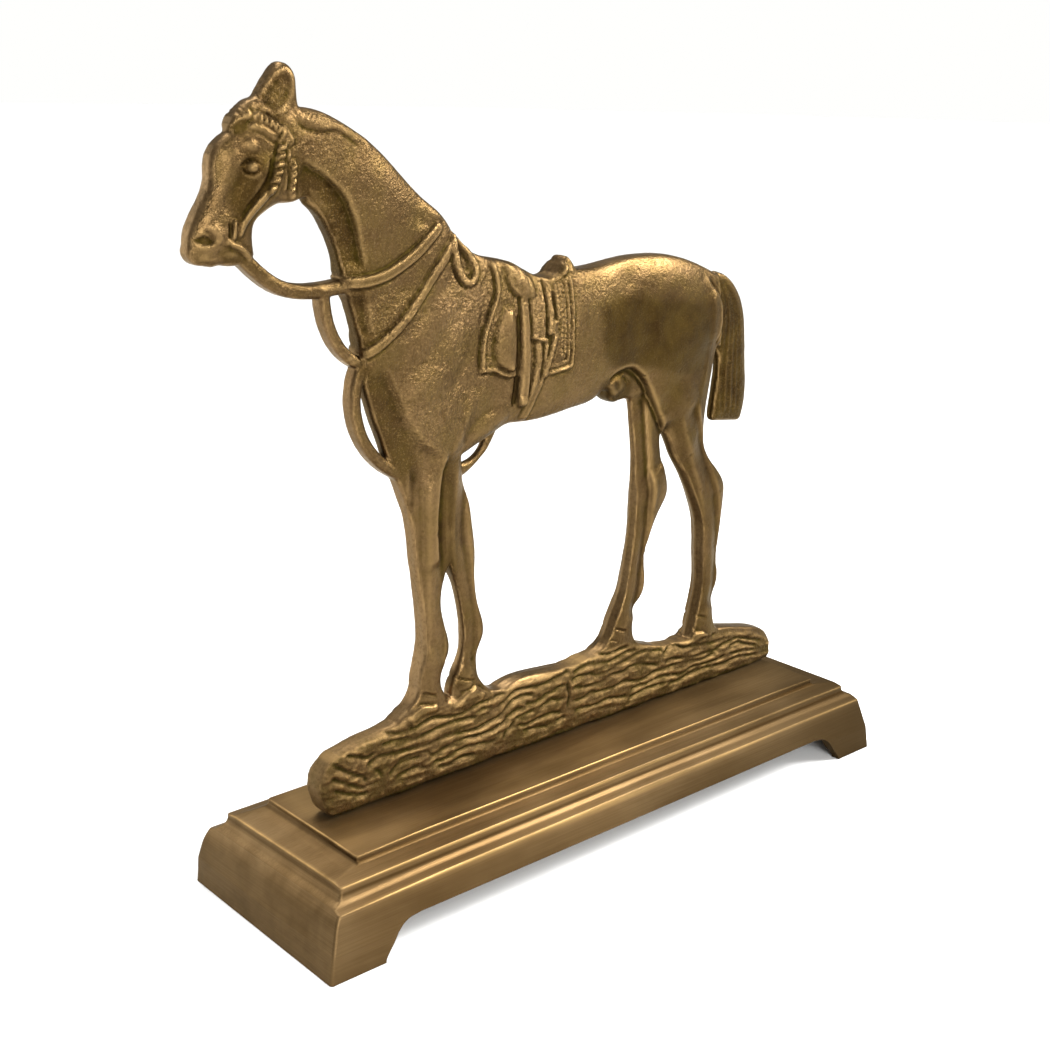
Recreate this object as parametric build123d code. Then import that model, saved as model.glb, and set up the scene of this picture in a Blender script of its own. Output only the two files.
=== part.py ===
from build123d import *
import os

# Bronze racehorse statuette: a flat sand casting (horse, tack and ground strip in one piece)
# screwed from below to a separate hollow stepped plinth.
# Millimetres. X runs along the plinth with the horse's head towards -X, -Y is the front, Z is up.
# The drawing frame is centred on the plinth; the finished pieces are then slid along X so that the
# origin is the bottom centre of the whole statuette's box, on the surface it stands on.

# ---- driving dimensions: plinth ----
PLINTH_LENGTH = 305.0
PLINTH_WIDTH = 94.5
PLINTH_HEIGHT = 34.9
RIDGE_LENGTH = 295.8          # crisp ridge at the top of the sloped skirt
RIDGE_WIDTH = 85.2
SIDE_RIDGE_Z = 23.5
END_RIDGE_Z = 25.0
TIER_LENGTH = 284.8           # middle tier
TIER_WIDTH = 74.4
SIDE_TIER_Z = 29.8
END_TIER_Z = 30.6
DECK_LENGTH = 258.6           # top plate under the figure
DECK_WIDTH = 58.6
FASCIA = 2.0                  # upright edge of the tier and of the deck
WALL = 4.0
FOOT_LENGTH = 22.5            # bracket foot, from the end of the plinth to the arch
ARCH_HEIGHT = 13.4

# ---- driving dimensions: figure ----
PLATE_HALF = 4.5              # half thickness of the casting at its ground edge
STRAP_HALF = 3.5              # half thickness of the free-hanging straps
STRIP_FOOT_ROUND = 3.0        # rounding under the ground strip
FIGURE_Y = 3.5                # the figure stands slightly behind the plinth's centre line

# ---- driving dimensions: fixings (M4 from below) ----
SCREW_X = 80.0
SCREW_RADIUS = 2.0
TAPPED_RADIUS = 2.02
CLEARANCE_RADIUS = 2.25
TAPPED_DEPTH = 12.0
SCREW_REACH = 10.0            # how far the shank enters the ground strip
WASHER_RADIUS = 5.0
WASHER_THICKNESS = 1.0
HEAD_RADIUS = 3.8
HEAD_HEIGHT = 3.0

DECK_UNDERSIDE = PLINTH_HEIGHT - WALL


def slab(face_xz, half):
    """A face drawn in the XZ plane, thickened equally to the front and the back."""
    return extrude(face_xz, amount=half, both=True)


def spline_face(*runs):
    """A closed XZ face from runs of points: each run is one smooth curve, and runs meet in corners."""
    edges = []
    for index, run in enumerate(runs):
        end = runs[(index + 1) % len(runs)][0]
        points = [(x, 0, z) for x, z in run + [end]]
        edges.append(Line(*points) if len(points) == 2 else Spline(*points))
    return make_face(Wire(edges))


def band(points, width, half):
    """A strap of constant width that follows a curve in the XZ plane."""
    path = Spline(*[(x, z) for x, z in points]) if len(points) > 2 else Line(*points)
    return slab(Plane.XZ * trace(path, width), half)


def dome(x, z, radius, rise, base):
    """A shallow lens of metal standing on both faces: a spherical cap over a round area."""
    ball = (radius ** 2 + rise ** 2) / (2 * rise)
    depth = base + rise - ball
    front = Pos(x, -depth, z) * Sphere(ball)
    back = Pos(x, depth, z) * Sphere(ball)
    return front & back


# ------------------------------------------------------------------ plinth
def stepped_profile(foot, ridge, ridge_z, tier, tier_z, deck):
    """Half-section of the plinth: drafted skirt, ridge, and two ledges with a cove under each fascia."""
    return [
        (foot, 0),
        (foot - 0.22 * (foot - ridge), 0.42 * ridge_z),
        (ridge, ridge_z),
        (0.4 * ridge + 0.6 * tier, ridge_z + 0.28 * (tier_z - FASCIA - ridge_z)),
        (tier + 0.9, ridge_z + 0.55 * (tier_z - FASCIA - ridge_z)),
        (tier, tier_z - FASCIA),
        (tier, tier_z),
        (0.4 * tier + 0.6 * deck, tier_z + 0.25 * (PLINTH_HEIGHT - FASCIA - tier_z)),
        (deck + 0.9, tier_z + 0.5 * (PLINTH_HEIGHT - FASCIA - tier_z)),
        (deck, PLINTH_HEIGHT - FASCIA),
        (deck, PLINTH_HEIGHT),
    ]


def hollow_profile(foot, ridge, ridge_z, tier, tier_z, deck):
    """Half-section of the space inside the plinth, one wall in from the outside."""
    return [
        (foot - WALL, 0),
        (ridge - WALL, ridge_z - 0.6 * WALL),
        (tier - WALL, tier_z - FASCIA - 0.8 * WALL),
        (deck - WALL, DECK_UNDERSIDE - 1.0),
        (deck - WALL - 2, DECK_UNDERSIDE),
    ]


def stepped_block(half_section):
    """The block that the side section (run along X) and the end section (run along Y) share."""
    side_args = (
        PLINTH_WIDTH / 2, RIDGE_WIDTH / 2, SIDE_RIDGE_Z,
        TIER_WIDTH / 2, SIDE_TIER_Z, DECK_WIDTH / 2,
    )
    end_args = (
        PLINTH_LENGTH / 2, RIDGE_LENGTH / 2, END_RIDGE_Z,
        TIER_LENGTH / 2, END_TIER_Z, DECK_LENGTH / 2,
    )
    side = half_section(*side_args)
    end = half_section(*end_args)
    side_loop = [(0, y, z) for y, z in side] + [(0, -y, z) for y, z in reversed(side)]
    end_loop = [(x, 0, z) for x, z in end] + [(-x, 0, z) for x, z in reversed(end)]
    side_face = make_face(Polyline(*side_loop, close=True))
    end_face = make_face(Polyline(*end_loop, close=True))
    return extrude(side_face, amount=200, both=True) & extrude(end_face, amount=100, both=True)


def side_arch():
    """The long shallow arch between the bracket feet, cut through both long sides."""
    half = PLINTH_LENGTH / 2 - FOOT_LENGTH
    right = [(half, -1), (half - 0.3, 1.5), (half - 4, 6.2)]
    shoulder = [(half - 4, 6.2), (half - 6.8, 10.0), (half - 11, 12.6), (half - 17, ARCH_HEIGHT)]
    left = [(-x, z) for x, z in reversed(shoulder)]
    foot = [(-x, z) for x, z in reversed(right)]
    edges = [
        Line(*[(x, 0, z) for x, z in (foot[-1], right[0])]),
        Spline(*[(x, 0, z) for x, z in right]),
        Spline(*[(x, 0, z) for x, z in shoulder]),
        Line(*[(x, 0, z) for x, z in (shoulder[-1], left[0])]),
        Spline(*[(x, 0, z) for x, z in left]),
        Spline(*[(x, 0, z) for x, z in foot]),
    ]
    return slab(make_face(Wire(edges)), PLINTH_WIDTH)


def plinth():
    body = stepped_block(stepped_profile) - stepped_block(hollow_profile) - side_arch()
    for x in (-SCREW_X, SCREW_X):
        body -= Pos(x, FIGURE_Y, PLINTH_HEIGHT - WALL / 2) * Cylinder(CLEARANCE_RADIUS, 2 * WALL)
    return body


# ------------------------------------------------------------------ figure
def horse_outline():
    """Head, neck, body and legs as one flat shape; the leg ends run on down into the strip."""
    return spline_face(
        # crest of the neck, withers to poll
        [(-55.5, 242), (-61.5, 247), (-67, 254), (-73, 258.5), (-80.5, 264.5), (-88.5, 272),
         (-98.5, 280.5), (-108.5, 286.5), (-118.5, 291)],
        # ear
        [(-126.5, 292.5), (-127.5, 299), (-128.5, 304), (-131.5, 306.5)],
        [(-134, 305), (-136.5, 301.5), (-140, 295.5)],
        # forelock, forehead and nose
        [(-140.5, 295), (-144, 295.5), (-147.5, 293.5), (-150, 290), (-152, 286)],
        [(-154, 284.5), (-158, 280), (-159.5, 274.5), (-159.5, 268), (-161, 264),
         (-164.5, 259), (-167.5, 253), (-169.5, 249), (-167.5, 245.5), (-163.5, 244.5)],
        # lips, chin and jaw
        [(-161, 244), (-156.5, 244.5), (-151, 244), (-146.5, 245.5)],
        [(-145.5, 246.5), (-146, 251), (-145, 257), (-140, 261), (-134, 263),
         (-129, 263), (-124.5, 264)],
        # throat, front of the neck and chest
        [(-123.5, 263.5), (-119.5, 260), (-115.5, 254), (-111.5, 245.5), (-109, 235),
         (-106, 226.5), (-103, 216.5), (-101.5, 207), (-100.5, 198.5), (-98, 190),
         (-95.5, 182.5), (-92.5, 175.5), (-90, 168.5), (-86.5, 161), (-82.5, 151.5), (-79.5, 141),
         (-77.5, 125.5), (-75.5, 110.5), (-74, 99.5), (-74.5, 86.5), (-76.5, 79), (-77, 74.5),
         (-82, 68), (-89.5, 62.5)],
        [(-90.5, 58)],
        [(-90.5, 50)],
        [(106, 50)],
        [(106, 55.5)],
        # near hind leg, back edge, up to the buttock
        [(98, 58), (93.5, 60), (91, 65.5), (91, 75), (93, 84), (92.5, 91), (92.5, 100.5),
         (93.5, 119.5), (93.5, 127.5), (90, 133.5), (83, 141), (79, 148.5), (78, 156.5),
         (79, 167), (81.5, 181.5), (83, 189)],
        # root of the tail, croup, loin
        [(84.5, 192), (92, 204), (88, 218)],
        [(83.5, 220), (76, 223.5), (62.5, 228.5), (48.5, 231.5), (39.5, 232), (31, 232),
         (16, 230.5), (5.5, 229.5)],
        # cantle, seat and pommel
        [(-1, 230), (-3.5, 233.5), (-5.5, 235), (-7.5, 233.5), (-9.5, 230.5)],
        [(-13.5, 228), (-18, 228), (-24, 230), (-30.5, 233.5)],
        [(-33, 234.5), (-39.5, 236.5), (-47, 238)],
    )


def leg_gaps():
    """The open spaces between the legs, cut out of the flat shape."""
    between_pairs = spline_face(
        [(-35, 64), (-41, 65.5), (-45.5, 69.5), (-47.5, 74), (-47.5, 84), (-45.5, 90.5),
         (-48, 104.5), (-50, 122.5), (-52, 137.5), (-54, 148.5), (-56, 156.5), (-57.5, 163.5)],
        [(-58, 165.2), (-51, 168), (-44, 170.7), (-38, 173.3)],
        [(-30.5, 174), (-15.5, 174), (0, 176), (11.5, 178.5), (17, 180.5)],
        [(18, 179.5), (19.5, 176.5), (23, 174.5), (27.5, 174.5), (32.5, 174.5)],
        [(35, 173), (37, 160.5), (38.5, 147), (38.5, 129.5), (38, 114), (35.5, 99),
         (33, 88.5), (28, 78.5), (24, 70.5), (17, 66), (6.5, 64)],
    )
    between_hind = spline_face(
        [(54.5, 60), (47, 63), (40.5, 67), (39, 71), (40.5, 80.5), (45, 89.5),
         (45, 101), (47.5, 113), (52, 122), (57, 131), (55, 140.5), (53.5, 148.5), (53, 154)],
        [(54.5, 157.5), (58, 152.5), (61.5, 145.5), (66.5, 138.5), (75, 124), (80, 111.5), (81, 98.5),
         (82, 83), (79.5, 71), (76, 59)],
    )
    between_fore = spline_face(
        [(-60.5, 67), (-58.5, 75.5), (-55.5, 81.5), (-54.5, 97), (-56.5, 107.5), (-59.5, 117)],
        [(-62.5, 123), (-65.5, 116.5), (-66, 102), (-63, 86.5), (-67, 79), (-65, 70)],
    )
    return between_pairs, between_hind, between_fore


def tail_outline():
    return spline_face(
        [(83, 191), (87.5, 189.5), (89.5, 183), (88.8, 170)],
        [(87.5, 160)],
        [(102.8, 158)],
        [(104, 162), (104.6, 173), (103.4, 184), (102.4, 195), (100, 205), (95, 213.5), (88, 218.6)],
    )


def strip_outline():
    """The rough strip of ground that the hooves stand on."""
    return spline_face(
        [(-116.5, 34.9), (-121, 37.5), (-124, 43), (-125, 49.5), (-122.5, 55), (-116.5, 59),
         (-101.5, 62), (-86.5, 64), (-61, 64.5), (-35, 64), (6.5, 64), (17.5, 65.5), (29.5, 64.5),
         (41.5, 63.5), (54, 60), (76, 58.5), (95, 59), (109.5, 56), (123, 52.5),
         (129.5, 48.5), (132, 43), (131, 37.5)],
        [(127, 34.9)],
    )


def strip_section():
    """End view of the strip, rounded under its lower edges."""
    half = PLATE_HALF + 0.3
    low = PLINTH_HEIGHT
    block = Pos(0, 0, low + 20) * Box(300, 2 * half, 40)
    return fillet(block.edges().filter_by(Axis.X).group_by(Axis.Z)[0], STRIP_FOOT_ROUND)


def ground_strip():
    strip = slab(strip_outline(), 2 * PLATE_HALF) & strip_section()
    for start, lift in ((41.0, 0.6), (46.0, 1.2), (51.0, 1.8)):
        run = [(-112, start - lift), (-70, start + lift), (-20, start), (40, start + 0.4 * lift), (112, start)]
        for side in (-1, 1):
            groove = band(run, 1.6, 1.0)
            strip -= Pos(0, side * (PLATE_HALF + 0.7), 0) * groove
    for x in (-SCREW_X, SCREW_X):
        strip -= Pos(x, 0, PLINTH_HEIGHT + TAPPED_DEPTH / 2) * Cylinder(TAPPED_RADIUS, TAPPED_DEPTH)
    return strip


def muscles():
    """Low rounded relief on both faces: neck, cheek, shoulder, barrel, haunch and upper legs."""
    lenses = (
        (-143, 270.5, 17, 3.0),
        (-110.5, 261.5, 24, 2.5),
        (-85.5, 239.5, 34, 3.0),
        (-71, 199, 38, 4.0),
        (-27, 201, 34, 4.5),
        (11.5, 203, 30, 4.4),
        (56, 197, 38, 4.6),
        (66, 167, 22, 2.5),
        (48.5, 166, 20, 2.1),
        (-69, 148.5, 16, 1.5),
    )
    return [dome(x, z, radius, rise, PLATE_HALF) for x, z, radius, rise in lenses]


def reins_and_loops():
    """Free-hanging cast straps: reins from the bit, martingale, chest loop and girth loop."""
    girth_loop = spline_face(
        [(-59, 155.5), (-55, 156.2), (-51, 158.2), (-46.3, 161.6), (-42.3, 165.3), (-39.8, 169)],
        [(-36, 175)],
        [(-43.5, 174), (-44, 169), (-46, 165.4), (-49, 162.8), (-53.5, 161.2)],
        [(-60, 161.5)],
    )
    return [
        band([(-150, 246.5), (-143, 240), (-135.5, 235), (-125.5, 232.5), (-114.5, 232.5), (-103.5, 233.5)],
             4.6, STRAP_HALF),
        band([(-117.5, 231.5), (-116, 221), (-111.5, 212), (-102.5, 205)], 3.8, STRAP_HALF),
        band([(-101.5, 205), (-104.5, 198), (-105, 188), (-102, 178), (-96, 169.5), (-85.5, 162)],
             4.0, STRAP_HALF),
        slab(girth_loop, STRAP_HALF),
    ]


def tack():
    """Saddle, cloth, girth, stirrups and harness straps, raised on both faces."""
    cloth = spline_face(
        [(-0.5, 226.5), (0, 205), (-1, 187.5)],
        [(-13, 186), (-15, 207), (-14, 226.5)],
    )
    knee_cloth = spline_face(
        [(-35, 227.5), (-42, 217), (-47, 206), (-46, 192)],
        [(-39, 191), (-28, 188), (-27, 207), (-27, 228.5)],
    )
    flap = spline_face(
        [(-13, 227.5), (-19, 223.5), (-27, 225.5), (-36, 230.5)],
        [(-39, 221), (-36, 213), (-30, 202), (-27, 188)],
        [(-23, 175), (-18, 177), (-15, 195), (-9.5, 204), (-8.5, 215)],
    )
    return [
        slab(cloth, PLATE_HALF + 4.2),
        slab(knee_cloth, PLATE_HALF + 4.6),
        slab(flap, PLATE_HALF + 5.8),
        band([(-5.5, 232.5), (-9.5, 225.5), (-17, 223.5), (-25, 225.5), (-35, 234.5)], 5.0, PLATE_HALF + 2.6),
        band([(-24, 214), (-25, 194), (-28, 175)], 4.0, PLATE_HALF + 6.6),
        band([(-19, 212), (-17.5, 199), (-22, 174)], 2.6, PLATE_HALF + 6.6),
        band([(-102.5, 233.5), (-89.5, 235.5), (-76, 240), (-59, 247.5)], 3.2, PLATE_HALF + 3.6),
        band([(-100.5, 204), (-89.5, 208), (-77, 219), (-65, 233.5), (-57, 242.5)], 3.4, PLATE_HALF + 4.6),
        slab(Plane.XZ * Pos(-58.5, 238) * Rot(0, 0, -62) * (Ellipse(8.5, 4.2) - Ellipse(6.2, 2.0)),
             PLATE_HALF + 3.8),
    ]


def head_details():
    """Bridle straps, eye boss and bit ring on both faces."""
    return [
        band([(-148, 250.5), (-141.5, 261.5), (-134.5, 273.5), (-127.5, 288)], 2.6, PLATE_HALF + 3.0),
        band([(-127.5, 263.5), (-128, 275.5), (-128.5, 289)], 2.4, PLATE_HALF + 2.8),
        band([(-150, 283.5), (-140.5, 283), (-129.5, 285.5)], 2.4, PLATE_HALF + 2.6),
        slab(Plane.XZ * Pos(-143.5, 272.5) * Ellipse(2.9, 2.1), PLATE_HALF + 3.6),
        slab(Plane.XZ * Pos(-148.5, 249) * Circle(2.8), PLATE_HALF + 1.6),
    ]


def face_cuts():
    """Sunk details on both faces: ear hollow, nostril and the strands of the tail."""
    cuts = []
    ear = spline_face(
        [(-129, 296), (-129, 300), (-131.5, 304)],
        [(-134, 301), (-135.5, 296.5), (-132.5, 295)],
    )
    strands = (
        [(94.5, 208), (96.5, 195), (97, 177), (96.5, 159)],
        [(91, 212), (94, 199), (94, 179), (93.5, 159)],
        [(97.5, 206), (99.5, 195), (100.5, 177), (99.5, 159)],
    )
    for side in (2.5, -1.5):
        cuts.append(Pos(0, side * (PLATE_HALF + 0.2), 0) * slab(ear, 1.6))
        nostril = Plane.XZ * Pos(-164, 251.5) * Ellipse(2.0, 1.3)
        cuts.append(Pos(0, side * (PLATE_HALF + 0.2), 0) * slab(nostril, 1.6))
        for strand in strands:
            cuts.append(Pos(0, side * (PLATE_HALF + 0.2), 0) * band(strand, 0.9, 1.1))
    return cuts


def horse():
    flat = horse_outline()
    for gap in leg_gaps():
        flat -= gap
    blank = Pos(-30, 0, 180) * Box(300, 2 * PLATE_HALF, 280)
    relief = blank.fuse(*muscles(), *tack(), *head_details())
    figure = relief & slab(flat, 3 * PLATE_HALF)
    figure = figure.fuse(slab(tail_outline(), PLATE_HALF - 0.5), *reins_and_loops())
    figure = figure.cut(*face_cuts())
    return Pos(0, FIGURE_Y, 0) * figure.fuse(ground_strip())


# ------------------------------------------------------------------ fixings
def screw(x):
    shank_base = DECK_UNDERSIDE - WASHER_THICKNESS
    shank_length = PLINTH_HEIGHT + SCREW_REACH - shank_base
    shank = Pos(0, 0, shank_base + shank_length / 2) * Cylinder(SCREW_RADIUS, shank_length)
    head = Pos(0, 0, shank_base - HEAD_HEIGHT / 2) * Cylinder(HEAD_RADIUS, HEAD_HEIGHT)
    head = fillet(head.edges().group_by(Axis.Z)[0], 0.8)
    hexagon = extrude(RegularPolygon(1.5, 6), amount=1.8, both=True)
    socket = Pos(0, 0, shank_base - HEAD_HEIGHT) * hexagon
    return Pos(x, FIGURE_Y, 0) * (head + shank - socket)


def washer(x):
    disc = Cylinder(WASHER_RADIUS, WASHER_THICKNESS) - Cylinder(CLEARANCE_RADIUS, 2 * WASHER_THICKNESS)
    return Pos(x, FIGURE_Y, DECK_UNDERSIDE - WASHER_THICKNESS / 2) * disc


pieces = {
    "plinth_casting": plinth(),
    "horse_casting": horse(),
    "front_mounting_screw": screw(-SCREW_X),
    "rear_mounting_screw": screw(SCREW_X),
    "front_washer": washer(-SCREW_X),
    "rear_washer": washer(SCREW_X),
}
boxes = [piece.bounding_box() for piece in pieces.values()]
left = min(box.min.X for box in boxes)
right = max(box.max.X for box in boxes)
to_origin = Pos(-(left + right) / 2, 0, 0)
os.makedirs("parts", exist_ok=True)
for name, piece in pieces.items():
    export_step(to_origin * piece, f"parts/{name}.step")
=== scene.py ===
"""Bronze racehorse statuette: materials, fine relief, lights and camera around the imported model."""

import math

import bmesh
import bpy
import numpy as np
from mathutils import Matrix, Vector


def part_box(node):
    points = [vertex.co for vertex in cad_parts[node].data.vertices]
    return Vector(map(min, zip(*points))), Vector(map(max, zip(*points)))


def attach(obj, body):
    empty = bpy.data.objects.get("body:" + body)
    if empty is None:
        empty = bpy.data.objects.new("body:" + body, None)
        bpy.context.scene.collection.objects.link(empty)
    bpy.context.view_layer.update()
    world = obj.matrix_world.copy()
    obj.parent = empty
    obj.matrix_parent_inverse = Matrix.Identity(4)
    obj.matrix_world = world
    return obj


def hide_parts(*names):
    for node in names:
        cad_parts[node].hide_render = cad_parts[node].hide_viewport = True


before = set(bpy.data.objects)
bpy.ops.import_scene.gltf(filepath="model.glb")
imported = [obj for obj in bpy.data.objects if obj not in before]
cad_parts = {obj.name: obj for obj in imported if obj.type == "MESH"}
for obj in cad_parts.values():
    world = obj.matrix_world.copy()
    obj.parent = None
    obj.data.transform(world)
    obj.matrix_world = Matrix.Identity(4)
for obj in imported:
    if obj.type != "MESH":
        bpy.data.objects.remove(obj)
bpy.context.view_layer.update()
rng = np.random.default_rng(11)

# Lengths below are millimetres from the middle of the plinth's underside unless they say otherwise.
plinth_low, plinth_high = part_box("plinth_casting")
MIDDLE_X = 500.0 * (plinth_low.x + plinth_high.x)
FIGURE_Y = 3.5
STEP = 0.6
LOW_X, HIGH_X = -173.0, 137.0
LOW_Z, HIGH_Z = 33.0, 310.0
REACH_Y = 12.6
FAR = 16.0                    # distances to the outline are measured up to this
BODY_EDGE = 4.5               # half thickness of the casting at its edge
FACE_DEPTH = 3.6              # from the middle plane to where the face's outline is taken
REIN_ROUND = 2.3
PLINTH_TOP = 34.9
FASCIA = 2.0
CORNER_RADIUS = 1.3
SCREW_CLEARANCE = 2.25
# the plinth's half size at the foot, half size and height of its ridge and of its tier, half size of its deck
SIDE_SIZES = (47.25, 42.6, 23.5, 37.2, 29.8, 29.3)
END_SIZES = (152.5, 147.9, 25.0, 142.4, 30.6, 129.3)


# ------------------------------------------------------------------ outline taken from the CAD mesh
def vertices_mm(mesh):
    """A mesh's vertices in plinth millimetres."""
    places = np.zeros(len(mesh.vertices) * 3)
    mesh.vertices.foreach_get("co", places)
    places = places.reshape(-1, 3) * 1000.0
    places[:, 0] -= MIDDLE_X
    return places


def section(node, y):
    """Segments (x, z) where a CAD node's mesh crosses the plane at that y."""
    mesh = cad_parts[node].data
    mesh.calc_loop_triangles()
    corners = np.zeros(len(mesh.loop_triangles) * 3, int)
    mesh.loop_triangles.foreach_get("vertices", corners)
    tri = vertices_mm(mesh)[corners.reshape(-1, 3)]
    height = tri[:, :, 1] - (y + 1e-4)
    segments = []
    for a, b, c in ((0, 1, 2), (1, 2, 0), (2, 0, 1)):
        alone = (height[:, a] > 0) != (height[:, b] > 0)
        alone &= (height[:, b] > 0) == (height[:, c] > 0)
        pa, pb, pc = tri[alone, a], tri[alone, b], tri[alone, c]
        ha, hb, hc = height[alone, a], height[alone, b], height[alone, c]
        first = pa + (pb - pa) * (ha / (ha - hb))[:, None]
        second = pa + (pc - pa) * (ha / (ha - hc))[:, None]
        segments.append(np.hstack([first[:, [0, 2]], second[:, [0, 2]]]))
    return np.vstack(segments)


grid_x = np.arange(LOW_X, HIGH_X, STEP)
grid_z = np.arange(LOW_Z, HIGH_Z, STEP)
GX, GZ = np.meshgrid(grid_x, grid_z, indexing="ij")


def window(low, high):
    """The part of the grid that covers a box given by two (x, z) corners."""
    i0 = max(0, int((low[0] - LOW_X) / STEP))
    i1 = min(len(grid_x), int((high[0] - LOW_X) / STEP) + 2)
    k0 = max(0, int((low[1] - LOW_Z) / STEP))
    k1 = min(len(grid_z), int((high[1] - LOW_Z) / STEP) + 2)
    return slice(i0, i1), slice(k0, k1)


def signed_distance(segments, reach=FAR):
    """Distance to the outline, negative inside."""
    best = np.full(GX.shape, reach)
    for ax, az, bx, bz in segments:
        span = (bx - ax) ** 2 + (bz - az) ** 2
        if span < 1e-10:
            continue
        low = (min(ax, bx) - reach, min(az, bz) - reach)
        cells = window(low, (max(ax, bx) + reach, max(az, bz) + reach))
        gx, gz = GX[cells], GZ[cells]
        t = np.clip(((gx - ax) * (bx - ax) + (gz - az) * (bz - az)) / span, 0, 1)
        d = np.hypot(gx - ax - t * (bx - ax), gz - az - t * (bz - az))
        np.minimum(best[cells], d, out=best[cells])
    crossings = np.zeros((len(grid_x) + 1, len(grid_z)))
    rows = grid_z + 1.3e-5    # clear of the mesh's own corners
    for ax, az, bx, bz in segments:
        if az > bz:
            ax, az, bx, bz = bx, bz, ax, az
        hit = np.nonzero((rows >= az) & (rows < bz))[0]
        if len(hit):
            cross = ax + (bx - ax) * (rows[hit] - az) / (bz - az)
            column = np.clip(np.ceil((cross - LOW_X) / STEP).astype(int), 0, len(grid_x))
            np.add.at(crossings, (column, hit), 1)
    inside = np.cumsum(crossings, axis=0)[:-1] % 2 > 0.5
    return np.where(inside, -best, best)


# ------------------------------------------------------------------ small drawing tools on the relief
def blur(field, radius):
    """Gaussian blur with a radius in millimetres."""
    sigma = max(radius / STEP, 1e-3)
    reach = int(3 * sigma) + 1
    kernel = np.exp(-0.5 * (np.arange(-reach, reach + 1) / sigma) ** 2)
    kernel /= kernel.sum()
    out = field
    for axis in (0, 1):
        pad = [(0, 0), (0, 0)]
        pad[axis] = (reach, reach)
        wide = np.pad(out, pad, mode="edge")
        total = np.zeros_like(out)
        for shift, weight in enumerate(kernel):
            cut = [slice(None), slice(None)]
            cut[axis] = slice(shift, shift + out.shape[axis])
            total += weight * wide[tuple(cut)]
        out = total
    return out


def ease(u):
    """0 below 0, 1 above 1 and a smooth step between."""
    u = np.clip(u, 0, 1)
    return u * u * (3 - 2 * u)


def smooth_path(points, steps=7):
    """Catmull-Rom curve through the points."""
    p = np.array(points, float)
    if len(p) < 3:
        return p
    ends = np.vstack([2 * p[0] - p[1], p, 2 * p[-1] - p[-2]])
    out = []
    for a, b, c, d in zip(ends[:-3], ends[1:-2], ends[2:-1], ends[3:]):
        for t in np.arange(steps) / steps:
            square, cube = 2 * a - 5 * b + 4 * c - d, 3 * b - a - 3 * c + d
            out.append(0.5 * (2 * b + (c - a) * t + square * t * t + cube * t ** 3))
    out.append(p[-1])
    return np.array(out)


def along(points, reach, curved=True):
    """Window, distance to the path, side (+1 left of its direction), run along it, and its length."""
    path = smooth_path(points) if curved else np.array(points, float)
    cells = window(path.min(0) - reach, path.max(0) + reach)
    gx, gz = GX[cells], GZ[cells]
    best = np.full(gx.shape, 1e9)
    side = np.zeros(gx.shape)
    run = np.zeros(gx.shape)
    done = 0.0
    for (ax, az), (bx, bz) in zip(path[:-1], path[1:]):
        length = math.hypot(bx - ax, bz - az)
        if length < 1e-9:
            continue
        t = np.clip(((gx - ax) * (bx - ax) + (gz - az) * (bz - az)) / length ** 2, 0, 1)
        d = np.hypot(gx - ax - t * (bx - ax), gz - az - t * (bz - az))
        closer = d < best
        cross = (bx - ax) * (gz - az) - (bz - az) * (gx - ax)
        best = np.where(closer, d, best)
        side = np.where(closer, np.sign(cross), side)
        run = np.where(closer, done + t * length, run)
        done += length
    return cells, best, side, run, done


RAISED = np.zeros(GX.shape)   # straps and panels standing on the surface
CUT = np.zeros(GX.shape)      # grooves and hollows
SWELL = np.zeros(GX.shape)    # muscles, facets and ledges
PATINA_AND_SHADE = np.zeros(GX.shape)   # where the olive colour is laid on: patina left thick, and painted shade away from the light
PEBBLE = np.zeros(GX.shape)   # where the sand's pebbly grain is coarse


def strap(points, width, rise, shoulder=0.9, lip=0.0, curved=True):
    """A flat band standing on the surface, with a fine shadow groove on both sides."""
    cells, d = along(points, width / 2 + 3, curved)[:2]
    profile = ease((width / 2 + shoulder / 2 - d) / shoulder)
    crown = rise * profile * (1 - 0.12 * np.clip(2 * d / width, 0, 1) ** 2)
    crown += lip * np.exp(-((d - width / 2 + 0.7) / 0.55) ** 2)
    np.maximum(RAISED[cells], crown, out=RAISED[cells])
    groove = 0.35 * np.exp(-((d - width / 2 - 0.75) / 0.55) ** 2)
    np.maximum(CUT[cells], groove, out=CUT[cells])


def beads(points, width, pitch, rise):
    """A twisted or beaded band."""
    cells, d, side, run, _ = along(points, width / 2 + 2)
    lobe = np.abs(np.sin(math.pi * (run + 0.35 * side * d) / pitch)) ** 0.9
    crown = rise * (0.05 + 0.95 * lobe) * ease((width / 2 + 0.4 - d) / 0.9)
    np.maximum(RAISED[cells], crown, out=RAISED[cells])
    groove = 0.4 * np.exp(-((d - width / 2 - 0.6) / 0.5) ** 2)
    np.maximum(CUT[cells], groove, out=CUT[cells])


def line_profile(points, width, fade):
    """Window and height, 0 to 1, of a rounded line that runs out at its ends."""
    cells, d, _, run, total = along(points, width * 3)
    ends = ease((run + 0.2) / fade) * ease((total - run + 0.2) / fade)
    return cells, np.exp(-(d / width) ** 2) * ends


def crease(points, width, depth, fade=2.0):
    """A groove that runs out at its ends."""
    cells, height = line_profile(points, width, fade)
    np.maximum(CUT[cells], depth * height, out=CUT[cells])


def ridge(points, width, rise, fade=3.0):
    """A raised line that runs out at its ends."""
    cells, height = line_profile(points, width, fade)
    SWELL[cells] += rise * height


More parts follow.
